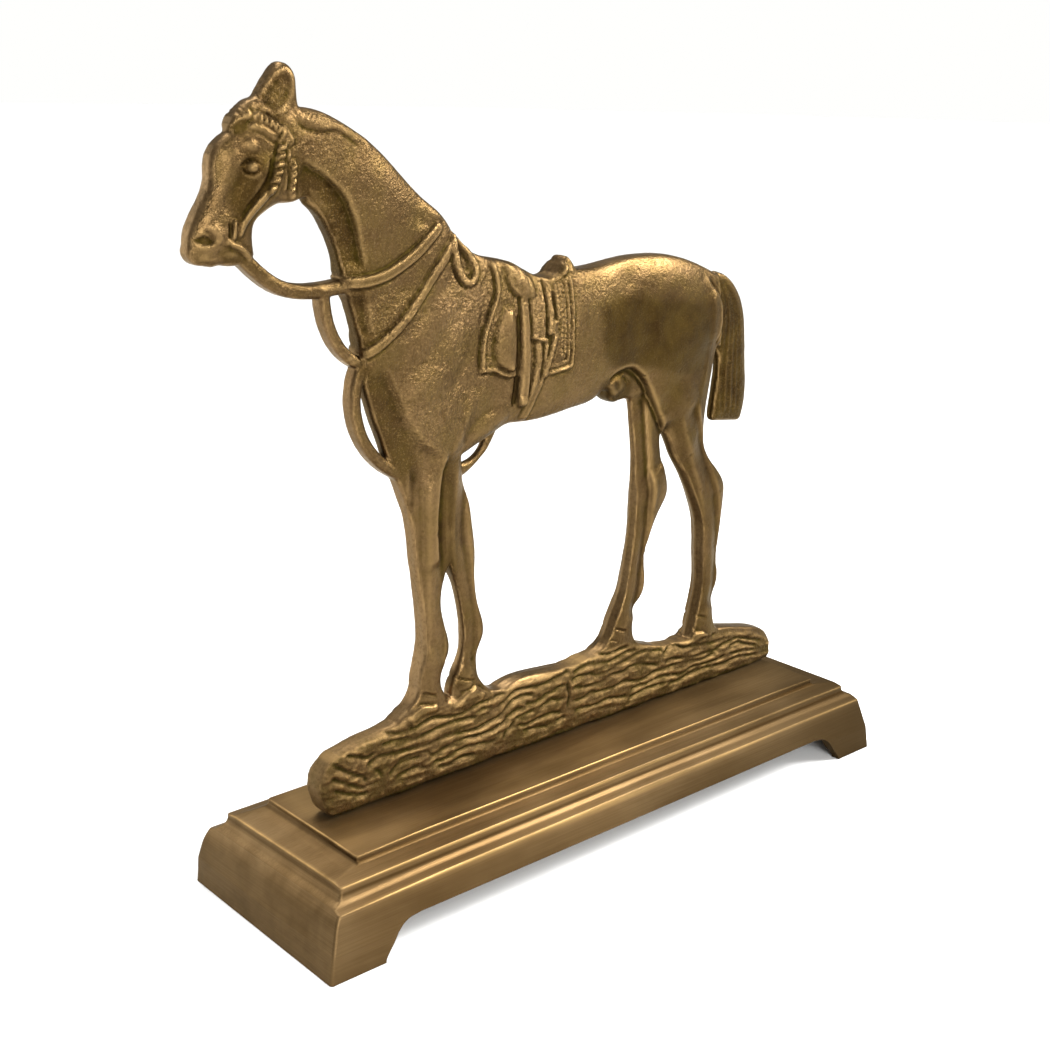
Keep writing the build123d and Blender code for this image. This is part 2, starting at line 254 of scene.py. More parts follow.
def ledge(points, rise, soft, reach, fade=5.0):
    """The surface steps up to the left of the path and sinks back over the reach."""
    cells, d, side, run, total = along(points, reach * 2)
    signed = side * d
    ends = ease(run / fade) * ease((total - run) / fade)
    up = ease(signed / soft + 0.5) * np.exp(-(np.maximum(signed, 0) / reach) ** 2)
    SWELL[cells] += rise * up * ends


def facet(points, slope_left, slope_right, reach):
    """The surface falls away on both sides of a ridge line, as on a cast leg."""
    cells, d, side, run, total = along(points, reach)
    slope = np.where(side > 0, slope_left, slope_right)
    ends = ease(run / 6) * ease((total - run) / 6)
    SWELL[cells] -= slope * d * ease((reach - d) / 3) * ends


def bump(x, z, rx, rz, angle, rise):
    """A rounded swelling, or a hollow when the rise is negative."""
    reach = max(rx, rz)
    cells = window((x - reach, z - reach), (x + reach, z + reach))
    turn = math.radians(angle)
    u = (GX[cells] - x) * math.cos(turn) + (GZ[cells] - z) * math.sin(turn)
    v = -(GX[cells] - x) * math.sin(turn) + (GZ[cells] - z) * math.cos(turn)
    SWELL[cells] += rise * ease(1 - (u / rx) ** 2 - (v / rz) ** 2)


def inside_distance(points, margin, curved=False):
    """Distance inside a closed outline (positive inside) in a window around it."""
    loop = list(points) + [points[0]]
    cells, d = along(loop, margin, curved)[:2]
    path = smooth_path(loop) if curved else np.array(loop, float)
    gx, gz = GX[cells], GZ[cells]
    odd = np.zeros(gx.shape, bool)
    for (ax, az), (bx, bz) in zip(path[:-1], path[1:]):
        if az == bz:
            continue
        spans = (gz >= min(az, bz)) & (gz < max(az, bz))
        cross = ax + (bx - ax) * (gz - az) / (bz - az)
        odd ^= spans & (gx < cross)
    return cells, np.where(odd, d, -d)


def pad(points, rise, soft=1.0, curved=False, crown=0.0):
    """A raised panel with a closed outline; crown rounds its middle up."""
    cells, d = inside_distance(points, soft + 3, curved)
    lift = rise * ease(d / soft + 0.5) + crown * (1 - np.exp(-np.maximum(d, 0) / 2.5))
    np.maximum(RAISED[cells], np.where(d > -soft, lift, 0), out=RAISED[cells])
    groove = 0.3 * np.exp(-((d + 0.9) / 0.55) ** 2)
    np.maximum(CUT[cells], groove, out=CUT[cells])


def hollow(points, depth, soft=1.2):
    """A sunk area with a curved outline."""
    cells, d = inside_distance(points, soft + 2, True)
    np.maximum(CUT[cells], depth * ease(d / soft + 0.3), out=CUT[cells])


def patina_and_shade_area(points, amount, soft):
    """Darken with the olive colour inside an outline, as thick patina and as painted shade; a soft width
    blends its border.
    """
    cells, d = inside_distance(points, soft + 1, True)
    np.maximum(PATINA_AND_SHADE[cells], amount * ease(d / soft + 0.5), out=PATINA_AND_SHADE[cells])


def patina_and_shade_line(points, width, amount):
    """Darken with the olive colour along a line, as thick patina and as painted shade."""
    cells, d = along(points, 2 * width)[:2]
    np.maximum(PATINA_AND_SHADE[cells], amount * np.exp(-(d / width) ** 2), out=PATINA_AND_SHADE[cells])


# ------------------------------------------------------------------ the figure's relief
def body_muscles():
    # neck: plate above the windpipe, the windpipe's tube and the crest
    ledge([(-103.5, 238), (-105, 246), (-107.4, 255), (-111, 263), (-116, 268.6), (-122, 272.8),
           (-129, 276.5)],
          -2.0, 1.3, 15, 5)
    ridge([(-126, 269), (-119, 261), (-114.5, 252), (-111, 243), (-109, 237)], 2.4, 0.7, 4)
    ridge([(-129, 291), (-122, 289), (-113, 287), (-105, 283.5), (-98, 279)], 1.8, 0.7, 4)
    crease([(-129.5, 289), (-126, 286.3), (-120.5, 285), (-114, 285), (-109, 282.6),
            (-104.5, 279.8)], 0.75, 0.8, 3)
    bump(-97, 262, 15, 22, 40, 0.9)
    ledge([(-100, 214), (-102, 222), (-103, 231)], -1.5, 2.5, 12, 4)
    ridge([(-106.5, 229), (-105, 220), (-102, 213)], 2.0, 0.5, 4)
    # withers
    bump(-72, 256.5, 6.5, 3.0, -35, 0.8)
    bump(-79, 254, 5, 3, -35, -0.5)
    # shoulder, arm and breast
    ledge([(-66, 165), (-73, 169), (-80, 174), (-85, 181), (-88.5, 189), (-92, 197),
           (-96, 205)], -2.0, 4.0, 17, 8)
    bump(-73, 183, 18, 22, 20, 1.8)
    bump(-70, 209, 28, 15, 52, 1.6)
    bump(-86, 222, 15, 7, 40, 0.6)
    crease([(-54, 232), (-62, 221), (-71, 211), (-80, 203), (-88, 199)], 3.0, 0.55, 9)
    ridge([(-66.5, 166), (-62, 171), (-57.5, 180), (-54.5, 190)], 2.4, 0.7, 6)
    crease([(-60, 168), (-54, 175), (-47, 181), (-40, 184)], 3.2, 0.7, 7)
    bump(-45, 176, 12, 5, 25, 0.8)
    # barrel
    bump(-3, 202, 44, 34, 3, 2.6)
    bump(32, 204, 10, 17, 10, -0.8)
    # croup, haunch and thigh
    bump(50, 206, 34, 28, -12, 2.6)
    bump(60, 186, 20, 24, -5, 1.0)
    bump(66, 160, 11, 22, 20, 1.0)
    ledge([(61.5, 144), (57.5, 151), (50.5, 160.5), (45, 170), (39, 180.5), (33, 186), (28, 188),
           (21, 187), (15, 183.5)],
          -2.2, 2.2, 17, 6)
    crease([(60.5, 146), (56.5, 151.5), (50, 160.5), (44.3, 170), (38.4, 180), (32.5, 185.2), (27.5, 187.2),
            (20.5, 186), (15.5, 183)], 1.3, 0.9, 4)
    ridge([(72.5, 223), (76, 214), (77.3, 204), (77, 194), (75.5, 182), (73, 170), (71.5, 160),
           (73, 149)], 2.0, 0.5, 6)
    bump(21.5, 181, 7.2, 4.8, -8, 1.5)
    crease([(26, 185), (28.5, 182.8), (30.5, 180.8)], 0.8, 0.9, 1.5)
    bump(51, 171, 5, 7, -30, -0.6)


def patina_and_shade():
    """Where the olive colour is laid on, as patina left thick and as painted shade, and where the sand's
    pebbly grain is coarse.
    """
    # Painted shade: the gullet and the chest front, the cheek, the croup, haunch and tail away from the
    # light, the far legs, under the forelock, in the nostril and ear, and dark lines along grooves and edges;
    # the olive is the patina's own colour.
    patina_and_shade_area([(-131, 273), (-126, 274), (-120, 271.5), (-115, 267.5), (-111, 263), (-107.5, 257),
           (-105.6, 250),
           (-104, 243), (-103.4, 237), (-110, 236.5), (-118, 238), (-121, 252), (-126, 262)], 0.85, 1.3)
    patina_and_shade_area([(-109, 231), (-103, 232), (-101.6, 222), (-99, 213), (-106, 210), (-110, 220)], 0.7, 2.5)
    patina_and_shade_area([(-101, 231), (-88, 235), (-76, 243), (-70, 246), (-67, 243), (-76, 232), (-86, 221), (-96, 213)],
         0.35, 4.0)
    patina_and_shade_area([(-105, 206), (-97, 203), (-92, 197), (-88.5, 188), (-85.5, 178), (-80, 168), (-80, 158),
           (-88, 163), (-95, 174), (-100, 190)], 0.65, 3.0)
    patina_and_shade_line([(-103.8, 240), (-105.4, 248), (-108, 256.6), (-111.8, 263.4), (-117, 268.8), (-124, 272.6),
                (-130, 275)], 1.3, 0.95)
    patina_and_shade_area([(-155.5, 262), (-153.5, 274), (-150, 280), (-142, 279), (-138.6, 272), (-146, 261),
           (-151.5, 255)],
         0.85, 4.0)
    patina_and_shade_area([(-130, 289), (-110, 282), (-90, 262), (-74, 244), (-90, 238), (-103, 238), (-107, 256),
           (-118, 270), (-131, 278)], 0.35, 8.0)
    patina_and_shade_area([(28, 219), (46, 222), (62, 219), (76, 214), (84, 200), (80, 176), (86, 150), (92, 120), (92, 66),
           (70, 66), (72, 110), (56, 150), (44, 176), (30, 196)], 0.5, 16.0)
    patina_and_shade_area([(8, 216), (24, 219), (40, 216), (66, 212), (76, 200), (70, 180), (40, 186),
           (14, 192)], 0.92, 6.0)
    patina_and_shade_area([(-156, 247), (-156, 262), (-154, 284), (-140, 292), (-124, 284), (-134, 266),
           (-150, 247)], 0.3, 5.0)
    patina_and_shade_area([(30, 176), (46, 168), (52, 140), (46, 116), (40, 66), (18, 66), (30, 100),
           (30, 150)], 0.35, 10.0)
    patina_and_shade_area([(-158, 251), (-153, 258), (-149, 252), (-146, 246), (-150, 244), (-158, 246)], 0.6, 2.0)
    patina_and_shade_area([(-142, 295), (-135.6, 303.6), (-130.6, 303), (-131.4, 296), (-138, 290)], 0.65, 2.0)
    patina_and_shade_area([(-168.4, 253), (-165.4, 255), (-162.4, 254.6), (-160.8, 252), (-163, 250.4),
           (-166.4, 251)], 0.7, 1.0)
    patina_and_shade_area([(-153.6, 287), (-150, 290), (-147, 290.6), (-145, 288.6), (-149, 285.8),
           (-152, 285.4)], 0.8, 1.5)
    patina_and_shade_line([(24, 187.4), (31, 186), (38, 179.6), (44, 170), (50, 160.4), (57, 151)], 2.2, 0.85)
    patina_and_shade_line([(-150, 246), (-143, 239.6), (-134, 235.6), (-124, 234.4), (-112, 234)], 3.0, 0.4)
    patina_and_shade_area([(-142, 293), (-133, 293), (-133, 286), (-140, 287)], 0.5, 3.0)
    patina_and_shade_area([(-67.5, 166), (-64, 166), (-61, 150), (-60, 132), (-59.5, 118), (-57, 105), (-57, 92),
           (-58.5, 80),
           (-54, 72), (-62, 72), (-66, 90), (-66, 112), (-69, 128), (-70, 150)], 0.7, 2.5)
    patina_and_shade_area([(-66, 166), (-61, 165.4), (-50, 171), (-40, 175), (-42, 167), (-52, 159), (-60, 160)], 0.45, 2.0)
    patina_and_shade_area([(38, 180), (45, 171), (52, 160), (58, 151), (54, 140), (50, 124), (45, 118), (44, 134),
           (44, 150),
           (40, 168), (32, 181)], 0.5, 3.0)
    patina_and_shade_area([(11, 184), (22, 188), (30, 186), (33, 178), (28, 172), (15, 172)], 0.9, 2.5)
    patina_and_shade_line([(49, 162), (56, 154), (61, 146), (66, 136), (71, 126), (74.5, 114), (76, 102), (77, 88),
                (76.5, 76)],
          3.4, 0.75)
    patina_and_shade_line([(84, 128), (81.5, 118), (86, 104), (86, 92)], 2.4, 0.35)
    patina_and_shade_area([(64, 214), (74, 216), (80, 204), (80, 190), (76, 168), (72, 150), (64, 150), (66, 172),
           (60, 195)],
         0.75, 9.0)
    patina_and_shade_area([(22, 214), (34, 212), (34, 190), (20, 190)], 0.35, 9.0)
    patina_and_shade_area([(78, 220), (90, 218), (99, 204), (103, 180), (103, 156), (82, 156), (84, 190),
           (84, 206)], 0.95, 3.0)
    patina_and_shade_area([(-20, 228), (-6, 228), (-6, 193), (-19, 192), (-15, 206)], 0.3, 1.5)
    for x, z, rx, rz, amount in ((-48, 214, 5, 24, 1.0), (-38, 226, 6, 9, 0.9), (-22, 208, 8, 24, 0.7),
                                 (-90, 222, 16, 12, 0.6),
                                 (-60, 222, 10, 22, 0.6), (-10, 213, 8, 20, 0.9), (-160, 268, 6, 18, 0.3),
                                 (-138, 296, 8, 10, 1.0), (-122, 280, 22, 12, 0.6),
                                 (-70, 190, 26, 26, 0.35),
                                 (8, 220, 20, 8, 0.25), (-112, 250, 12, 24, 0.25)):
        q = np.clip(1 - ((GX - x) / rx) ** 2 - ((GZ - z) / rz) ** 2, 0, 1)
        np.maximum(PEBBLE, amount * ease(1.6 * q), out=PEBBLE)


def legs():
    # far fore leg set back behind the near one
    ledge([(-67.6, 123), (-69.2, 134), (-69.6, 148), (-68.4, 160), (-66.6, 170)], 1.5, 1.3, 9, 5)
    crease([(-67, 164), (-68.9, 156), (-69.5, 146), (-69, 135), (-67.4, 125)], 0.7, 0.5, 5)
    facet([(-60, 166), (-61.5, 150), (-62.6, 134), (-60, 118), (-57.5, 106), (-56, 96), (-56, 86),
           (-57, 76)],
          0.34, 0.2, 8.5)
    # near fore leg
    facet([(-74.6, 166), (-74.4, 142), (-74, 124), (-73.6, 108), (-73.2, 96), (-73.6, 84)], 0.2, 0.3, 9)
    ridge([(-80.5, 160), (-80.2, 142), (-79.4, 124), (-78.6, 108), (-78, 94)], 1.3, 0.35, 8)
    crease([(-77.8, 162), (-77.6, 142), (-77, 124), (-76.2, 108), (-75.6, 96)], 1.2, 0.4, 8)
    bump(-73.5, 88, 5, 6, 10, 0.5)
    bump(-55, 92, 4.5, 6, 0, 0.4)
    crease([(-77.4, 74), (-75, 73.2), (-70, 71)], 0.6, 0.7, 1.5)
    crease([(-79, 70.2), (-76.5, 69.4), (-71.5, 68)], 0.6, 0.7, 1.5)
    crease([(-60.5, 75.3), (-55, 73.6), (-49.5, 71.8)], 0.6, 0.7, 1.5)
    crease([(-58, 68.7), (-54, 69.3), (-50.5, 70.6)], 0.5, 0.6, 1)
    # far hind leg, with its cannon bone and point of hock
    facet([(31, 176), (33.5, 158), (36.3, 136), (36.2, 120), (34.8, 104), (33.3, 90),
           (31, 78)], 0.3, 0.22, 11)
    bump(46, 132, 5, 8, 0, 0.5)
    crease([(27.5, 75), (30.5, 74), (34.3, 72.6)], 0.6, 0.8, 1.2)
    crease([(25, 70.4), (27, 70), (29.4, 69.4)], 0.5, 0.6, 1.0)
    bump(24, 80, 6, 4.5, -20, 0.8)
    # near hind leg
    facet([(60, 166), (66, 152), (72, 139), (77, 128), (80.6, 116), (82.6, 104), (83.2, 92), (82.6, 80),
           (81.6, 70)],
          0.22, 0.3, 10.5)
    bump(84.5, 129, 4, 7, 20, 0.5)
    crease([(79, 69), (82, 68), (85.2, 66.8)], 0.6, 0.7, 1.2)
    crease([(76, 63), (79, 62.4), (81.5, 61.8)], 0.6, 0.6, 1.2)
    # hooves, standing a little proud of the ground strip
    pad([(-84.5, 66.5), (-77, 69), (-70, 67.5), (-71, 65), (-77.5, 62.8), (-81.5, 60.6)], 0.9, 1.2)
    pad([(-62, 63.5), (-55, 68), (-50, 69.5), (-45.5, 66), (-48, 63.2), (-55, 62.3)], 0.9, 1.2)
    pad([(69.5, 57.6), (75, 60.8), (83.5, 60.4), (86, 58.4), (80, 57), (74, 56.6)], 0.9, 1.2)


def head():
    # face planes
    bump(-143, 268, 10, 13, -35, 1.2)
    bump(-158, 276, 8, 14, -20, 0.7)
    bump(-166, 257, 8, 9, 0, 0.9)
    bump(-152, 266, 6, 10, -35, -0.9)
    bump(-161, 264, 4, 8, -28, 0.5)
    bump(-147, 281.6, 3.4, 2.6, -25, 0.9)
    # eye between its lids
    bump(-147.3, 275.1, 4.6, 3.2, 0, -0.3)
    bump(-147.2, 275.1, 2.3, 2.2, 0, 1.5)
    crease([(-151.8, 275), (-149.6, 276.6), (-147, 277.4), (-144.6, 276.2)], 0.45, 0.6, 1)
    crease([(-150.6, 274.6), (-149.2, 273.3), (-147, 272.9), (-145, 273.8)], 0.45, 0.6, 1)
    ridge([(-152.2, 275.4), (-149.6, 277.5), (-146.6, 278), (-143.8, 276.4)], 0.6, 0.5, 1)
    ridge([(-151.4, 274.4), (-149.2, 272.3), (-146.4, 272), (-144.2, 273.4)], 0.6, 0.35, 1)
    # nostril and lips
    ridge([(-163.6, 257), (-161, 256.4), (-159.4, 253.6), (-160.6, 251)], 0.8, 0.8, 1.5)
    hollow([(-168.4, 253), (-165.4, 254.6), (-162.8, 254.2), (-161.4, 252), (-163, 250.8), (-166.2, 251.4)],
           1.5, 1.3)
    crease([(-164.6, 255.8), (-162.8, 254.6), (-161.4, 252.4)], 0.5, 0.9, 1)
    crease([(-163.6, 247.2), (-160.5, 247.8), (-158.4, 249.4)], 0.7, 0.5, 1.5)
    bump(-164, 247, 4.5, 2, 5, 0.6)
    bump(-155.5, 247.5, 3.4, 2, 0, 0.5)
    # ear
    hollow([(-142, 294.5), (-139, 298.6), (-135.6, 302.6), (-132, 304.6), (-130, 302.4), (-130.2, 298),
            (-132, 294.6),
            (-137, 291.6)], 1.6, 2.4)
    ridge([(-142.6, 297), (-139, 300.8), (-135.8, 304.2), (-133, 306)], 0.9, 0.9, 2)
    ridge([(-131.2, 304.6), (-128.9, 302.2), (-128.8, 299), (-130, 295.2)], 0.8, 0.6, 2)
    bump(-137.5, 290.6, 4.5, 2.6, -10, -0.8)
    # forelock
    pad([(-157.6, 287), (-156.4, 290), (-153, 293.4), (-149.6, 294.6), (-146, 292), (-147, 289),
         (-150.4, 287.4),
         (-154, 286.6)], 0.9, 1.6, True, 0.5)
    crease([(-157.5, 286), (-153, 285.6), (-149.4, 286), (-147, 288)], 0.9, 0.9, 1.5)
    hollow([(-153, 287.4), (-150, 289.6), (-147.4, 290.2), (-145.6, 288.6), (-149, 286.8),
            (-152, 286.2)], 1.1, 1.4)
    for x, z in ((-150.7, 293.2), (-149.1, 294.2), (-147.4, 295)):
        crease([(x, z), (x + 1.0, z - 1.6), (x + 2.2, z - 2.8)], 0.5, 1.2, 0.6)
    # bridle: browband, cheek piece, jowl strap and throat latch
    beads([(-143.6, 290.4), (-140, 289), (-137, 287), (-135, 284.8)], 2.8, 1.9, 1.4)
    strap([(-146, 288), (-141.8, 286.8), (-138, 284.2)], 2.6, 0.5)
    strap([(-134.6, 286), (-132.4, 282.6)], 3.2, 0.9, curved=False)
    beads([(-135.4, 282), (-136.4, 278), (-137.6, 274), (-139, 270), (-140, 267.4)], 3.4, 2.7, 1.8)
    strap([(-140.4, 267.4), (-143.6, 264.4), (-147, 261), (-150, 257.6), (-152, 254.4)], 2.6, 0.9)
    crease([(-139.4, 278), (-141, 272), (-144.8, 266.8), (-149, 261.8), (-151.4, 258)], 0.8, 0.9, 2)
    strap([(-133.6, 283), (-133, 278), (-133.2, 273), (-134, 267)], 1.2, 0.4)
    beads([(-131.6, 275.4), (-131.3, 271.4), (-130.9, 268), (-130.6, 265)], 2.5, 2.5, 1.7)
    crease([(-133.4, 277), (-133.2, 272), (-132.7, 266)], 0.6, 0.7, 1.5)
    # bit and the corner of the mouth
    strap([(-154, 257.8), (-153.9, 255.6), (-154.4, 253.2)], 1.6, 1.1, 0.7)
    crease([(-155.6, 258), (-155.6, 254.4), (-156.2, 252.8)], 0.6, 0.9, 1)
    bump(-156, 251.4, 2.0, 1.5, 0, 1.2)
    crease([(-151, 259), (-151.9, 256), (-153, 253)], 0.5, 0.6, 1)
    strap([(-154.6, 250.6), (-151.8, 249.4), (-149.4, 247.6), (-147.6, 245.6)], 1.8, 0.8)


def tack():
    # reins and breast strap
    strap([(-118, 234.2), (-110, 234.2), (-102, 234.6), (-95, 236), (-88, 239), (-81, 243), (-75, 247.6),
           (-71, 250.8)], 4.0, 1.1, 1.0, 0.2)
    strap([(-108.5, 206.6), (-101, 209.4), (-94, 213.8), (-87, 219.6), (-80.5, 226.4), (-74, 233.6),
           (-68.5, 239.6),
           (-63.8, 244.6)], 3.4, 1.0, 1.0, 0.12)
    # folded strap end hanging at the withers
    loop = [(-62.6, 247), (-63, 241), (-61.6, 235.4), (-58.8, 231), (-55.6, 230.4), (-53.4, 233.6),
            (-54.2, 238),
            (-57, 242.4), (-60.4, 246)]
    cells, d = along(loop, 4)[:2]
    np.maximum(RAISED[cells], 1.3 * ease((1.7 - d) / 0.9), out=RAISED[cells])
    np.maximum(CUT[cells], 0.5 * np.exp(-((d - 2.3) / 0.6) ** 2), out=CUT[cells])
    hollow([(-60.6, 243), (-60.2, 238), (-58.4, 234.4), (-56.4, 234), (-55.8, 237), (-58, 241)], 0.9, 1.0)
    # saddle cloth, front panel with its double border
    pad([(-46.5, 237), (-40, 237), (-34, 232), (-33, 193), (-38, 192.8), (-44.6, 195.6), (-51.2, 196),
         (-51.6, 203.5),
         (-50.2, 211), (-46.4, 219), (-44, 226), (-44.4, 232)], 0.9, 0.9)
    strap([(-44.8, 236.4), (-43.4, 231), (-43.2, 225.4), (-46, 218.6), (-49, 211), (-50.3, 203.6),
           (-50.1, 197.2)],
          1.5, 1.3, 0.7)
    strap([(-50, 197), (-45, 196.6), (-41, 194.6), (-37.4, 193.6)], 1.2, 1.2, 0.7)
    # knee roll
    pad([(-40, 219.5), (-36.2, 218), (-35, 208), (-35.4, 198), (-36.4, 194.8), (-40, 195.8), (-44.2, 199.2),
         (-45.6, 205), (-44.8, 211), (-42.6, 215.6)], 1.2, 2.0, True, 2.0)
    # pommel, seat panel and cantle
    pad([(-39.6, 236), (-35, 236), (-30, 232.6), (-26, 228.6), (-25.6, 222.6), (-31, 222), (-36, 224.8),
         (-39.2, 230)], 1.4, 1.6, True, 1.7)
    pad([(-28, 232), (-21.4, 229.6), (-21, 216), (-21.4, 205.4), (-27.8, 207), (-28.2, 220)], 1.2, 0.9)
    strap([(-27.6, 207.4), (-24.4, 206.4), (-20.8, 205.4)], 1.5, 1.7, 0.7)
    pad([(-24, 231.4), (-16, 232.6), (-12, 236.4), (-6.4, 232), (-8.6, 229), (-15, 227.6),
         (-22.6, 228.6)], 1.0, 1.0)
    ridge([(-23, 229), (-16, 227.9), (-11, 228.9), (-7, 231.4)], 0.9, 1.1, 1.5)
    # stirrup leather
    strap([(-30.9, 221), (-30.7, 208), (-30.6, 194), (-30.8, 183)], 4.2, 1.7, 1.1)
    bump(-30.9, 182.2, 3.9, 3.2, 0, 1.0)
    crease([(-33.8, 217), (-33.9, 204), (-34, 190), (-34.4, 181)], 0.8, 1.2, 2)
    crease([(-28, 217), (-27.9, 204), (-27.9, 190), (-27.8, 183)], 0.6, 0.7, 2)
    # girth straps drawing together under the barrel
    strap([(-24.4, 205), (-24, 198), (-24.8, 190), (-26.6, 182), (-28.2, 176)], 2.9, 0.9, 0.8)
    strap([(-20.6, 204.6), (-20.8, 198), (-22, 190.5), (-24.6, 183), (-27.4, 175.6)], 1.6, 1.0, 0.8)
    strap([(-18.6, 228), (-18.4, 218), (-18.2, 211.6)], 3.2, 1.1, 0.8)
    strap([(-16.4, 212), (-16.8, 205), (-18.8, 198), (-20.6, 192)], 2.0, 1.5, 0.8)
    pad([(-20, 215.4), (-16.8, 211.6), (-16.8, 208), (-20.2, 208)], 1.5, 1.2, True, 0.8)
    # saddle cloth, rear panel with a beaded field and a double border
    pad([(-20, 228.6), (-6.2, 228.6), (-6, 194.6), (-7.4, 192.8), (-19.4, 191.4), (-17, 200),
         (-15.6, 208), (-16, 222)],
        0.7, 0.8)
    strap([(-7.1, 228), (-6.9, 212), (-6.9, 196.6), (-8.6, 193.8), (-19, 192.4)], 1.1, 1.1, 0.6)
    strap([(-9.5, 227), (-9.3, 212), (-9.3, 198), (-10.4, 196), (-17.6, 195)], 0.9, 1.0, 0.6)
    crease([(-8.2, 227), (-8.1, 212), (-8.1, 197), (-9.6, 194.9), (-18.6, 193.6)], 0.5, 0.5, 1)
    for column, x in enumerate((-14.9, -13.2, -11.5)):
        for row in range(15):
            z = 198.2 + 1.95 * row + (0.5 if column == 1 else 0)
            if x < -14 and z < 203:
                continue
            cells = window((x - 1.4, z - 1.4), (x + 1.4, z + 1.4))
            box = np.maximum(np.abs(GX[cells] - x) / 0.62, np.abs(GZ[cells] - z) / 0.72)
            np.maximum(RAISED[cells], 1.3 * ease((1.5 - box) / 0.9), out=RAISED[cells])


def tail():
    crease([(75, 220.4), (76.8, 218.4), (80.6, 213.6), (83.6, 207.6), (84, 201), (82.8, 195),
            (81, 191)], 0.9, 1.4, 3)
    ledge([(81, 190), (83, 195), (84.3, 201), (83.8, 208), (80.8, 214), (76.8, 218.6)], 1.3, 1.8, 8, 6)
    strands = (
        [(79, 219), (84.6, 213), (87.6, 205), (87.8, 195), (87, 182), (86.4, 166)],
        [(81, 219.6), (87, 213.6), (90, 205), (90.6, 193), (90.4, 178), (90.4, 160)],
        [(83, 219.4), (89.4, 213.4), (92.8, 204), (93.4, 190), (93.4, 175), (93.6, 159)],
        [(86, 218.4), (91.8, 212), (95.2, 202), (96.2, 188), (96.6, 174), (97, 159)],
        [(90, 215.6), (94.6, 208.6), (97.6, 198), (98.8, 184), (99.4, 170), (99.6, 159)],
        [(86, 207), (86, 198), (84.6, 190), (83.8, 178), (83.4, 163)],
    )
    for number, strand in enumerate(strands):
        crease(strand, 1.0, 0.5 if number % 2 else 0.3, 3)


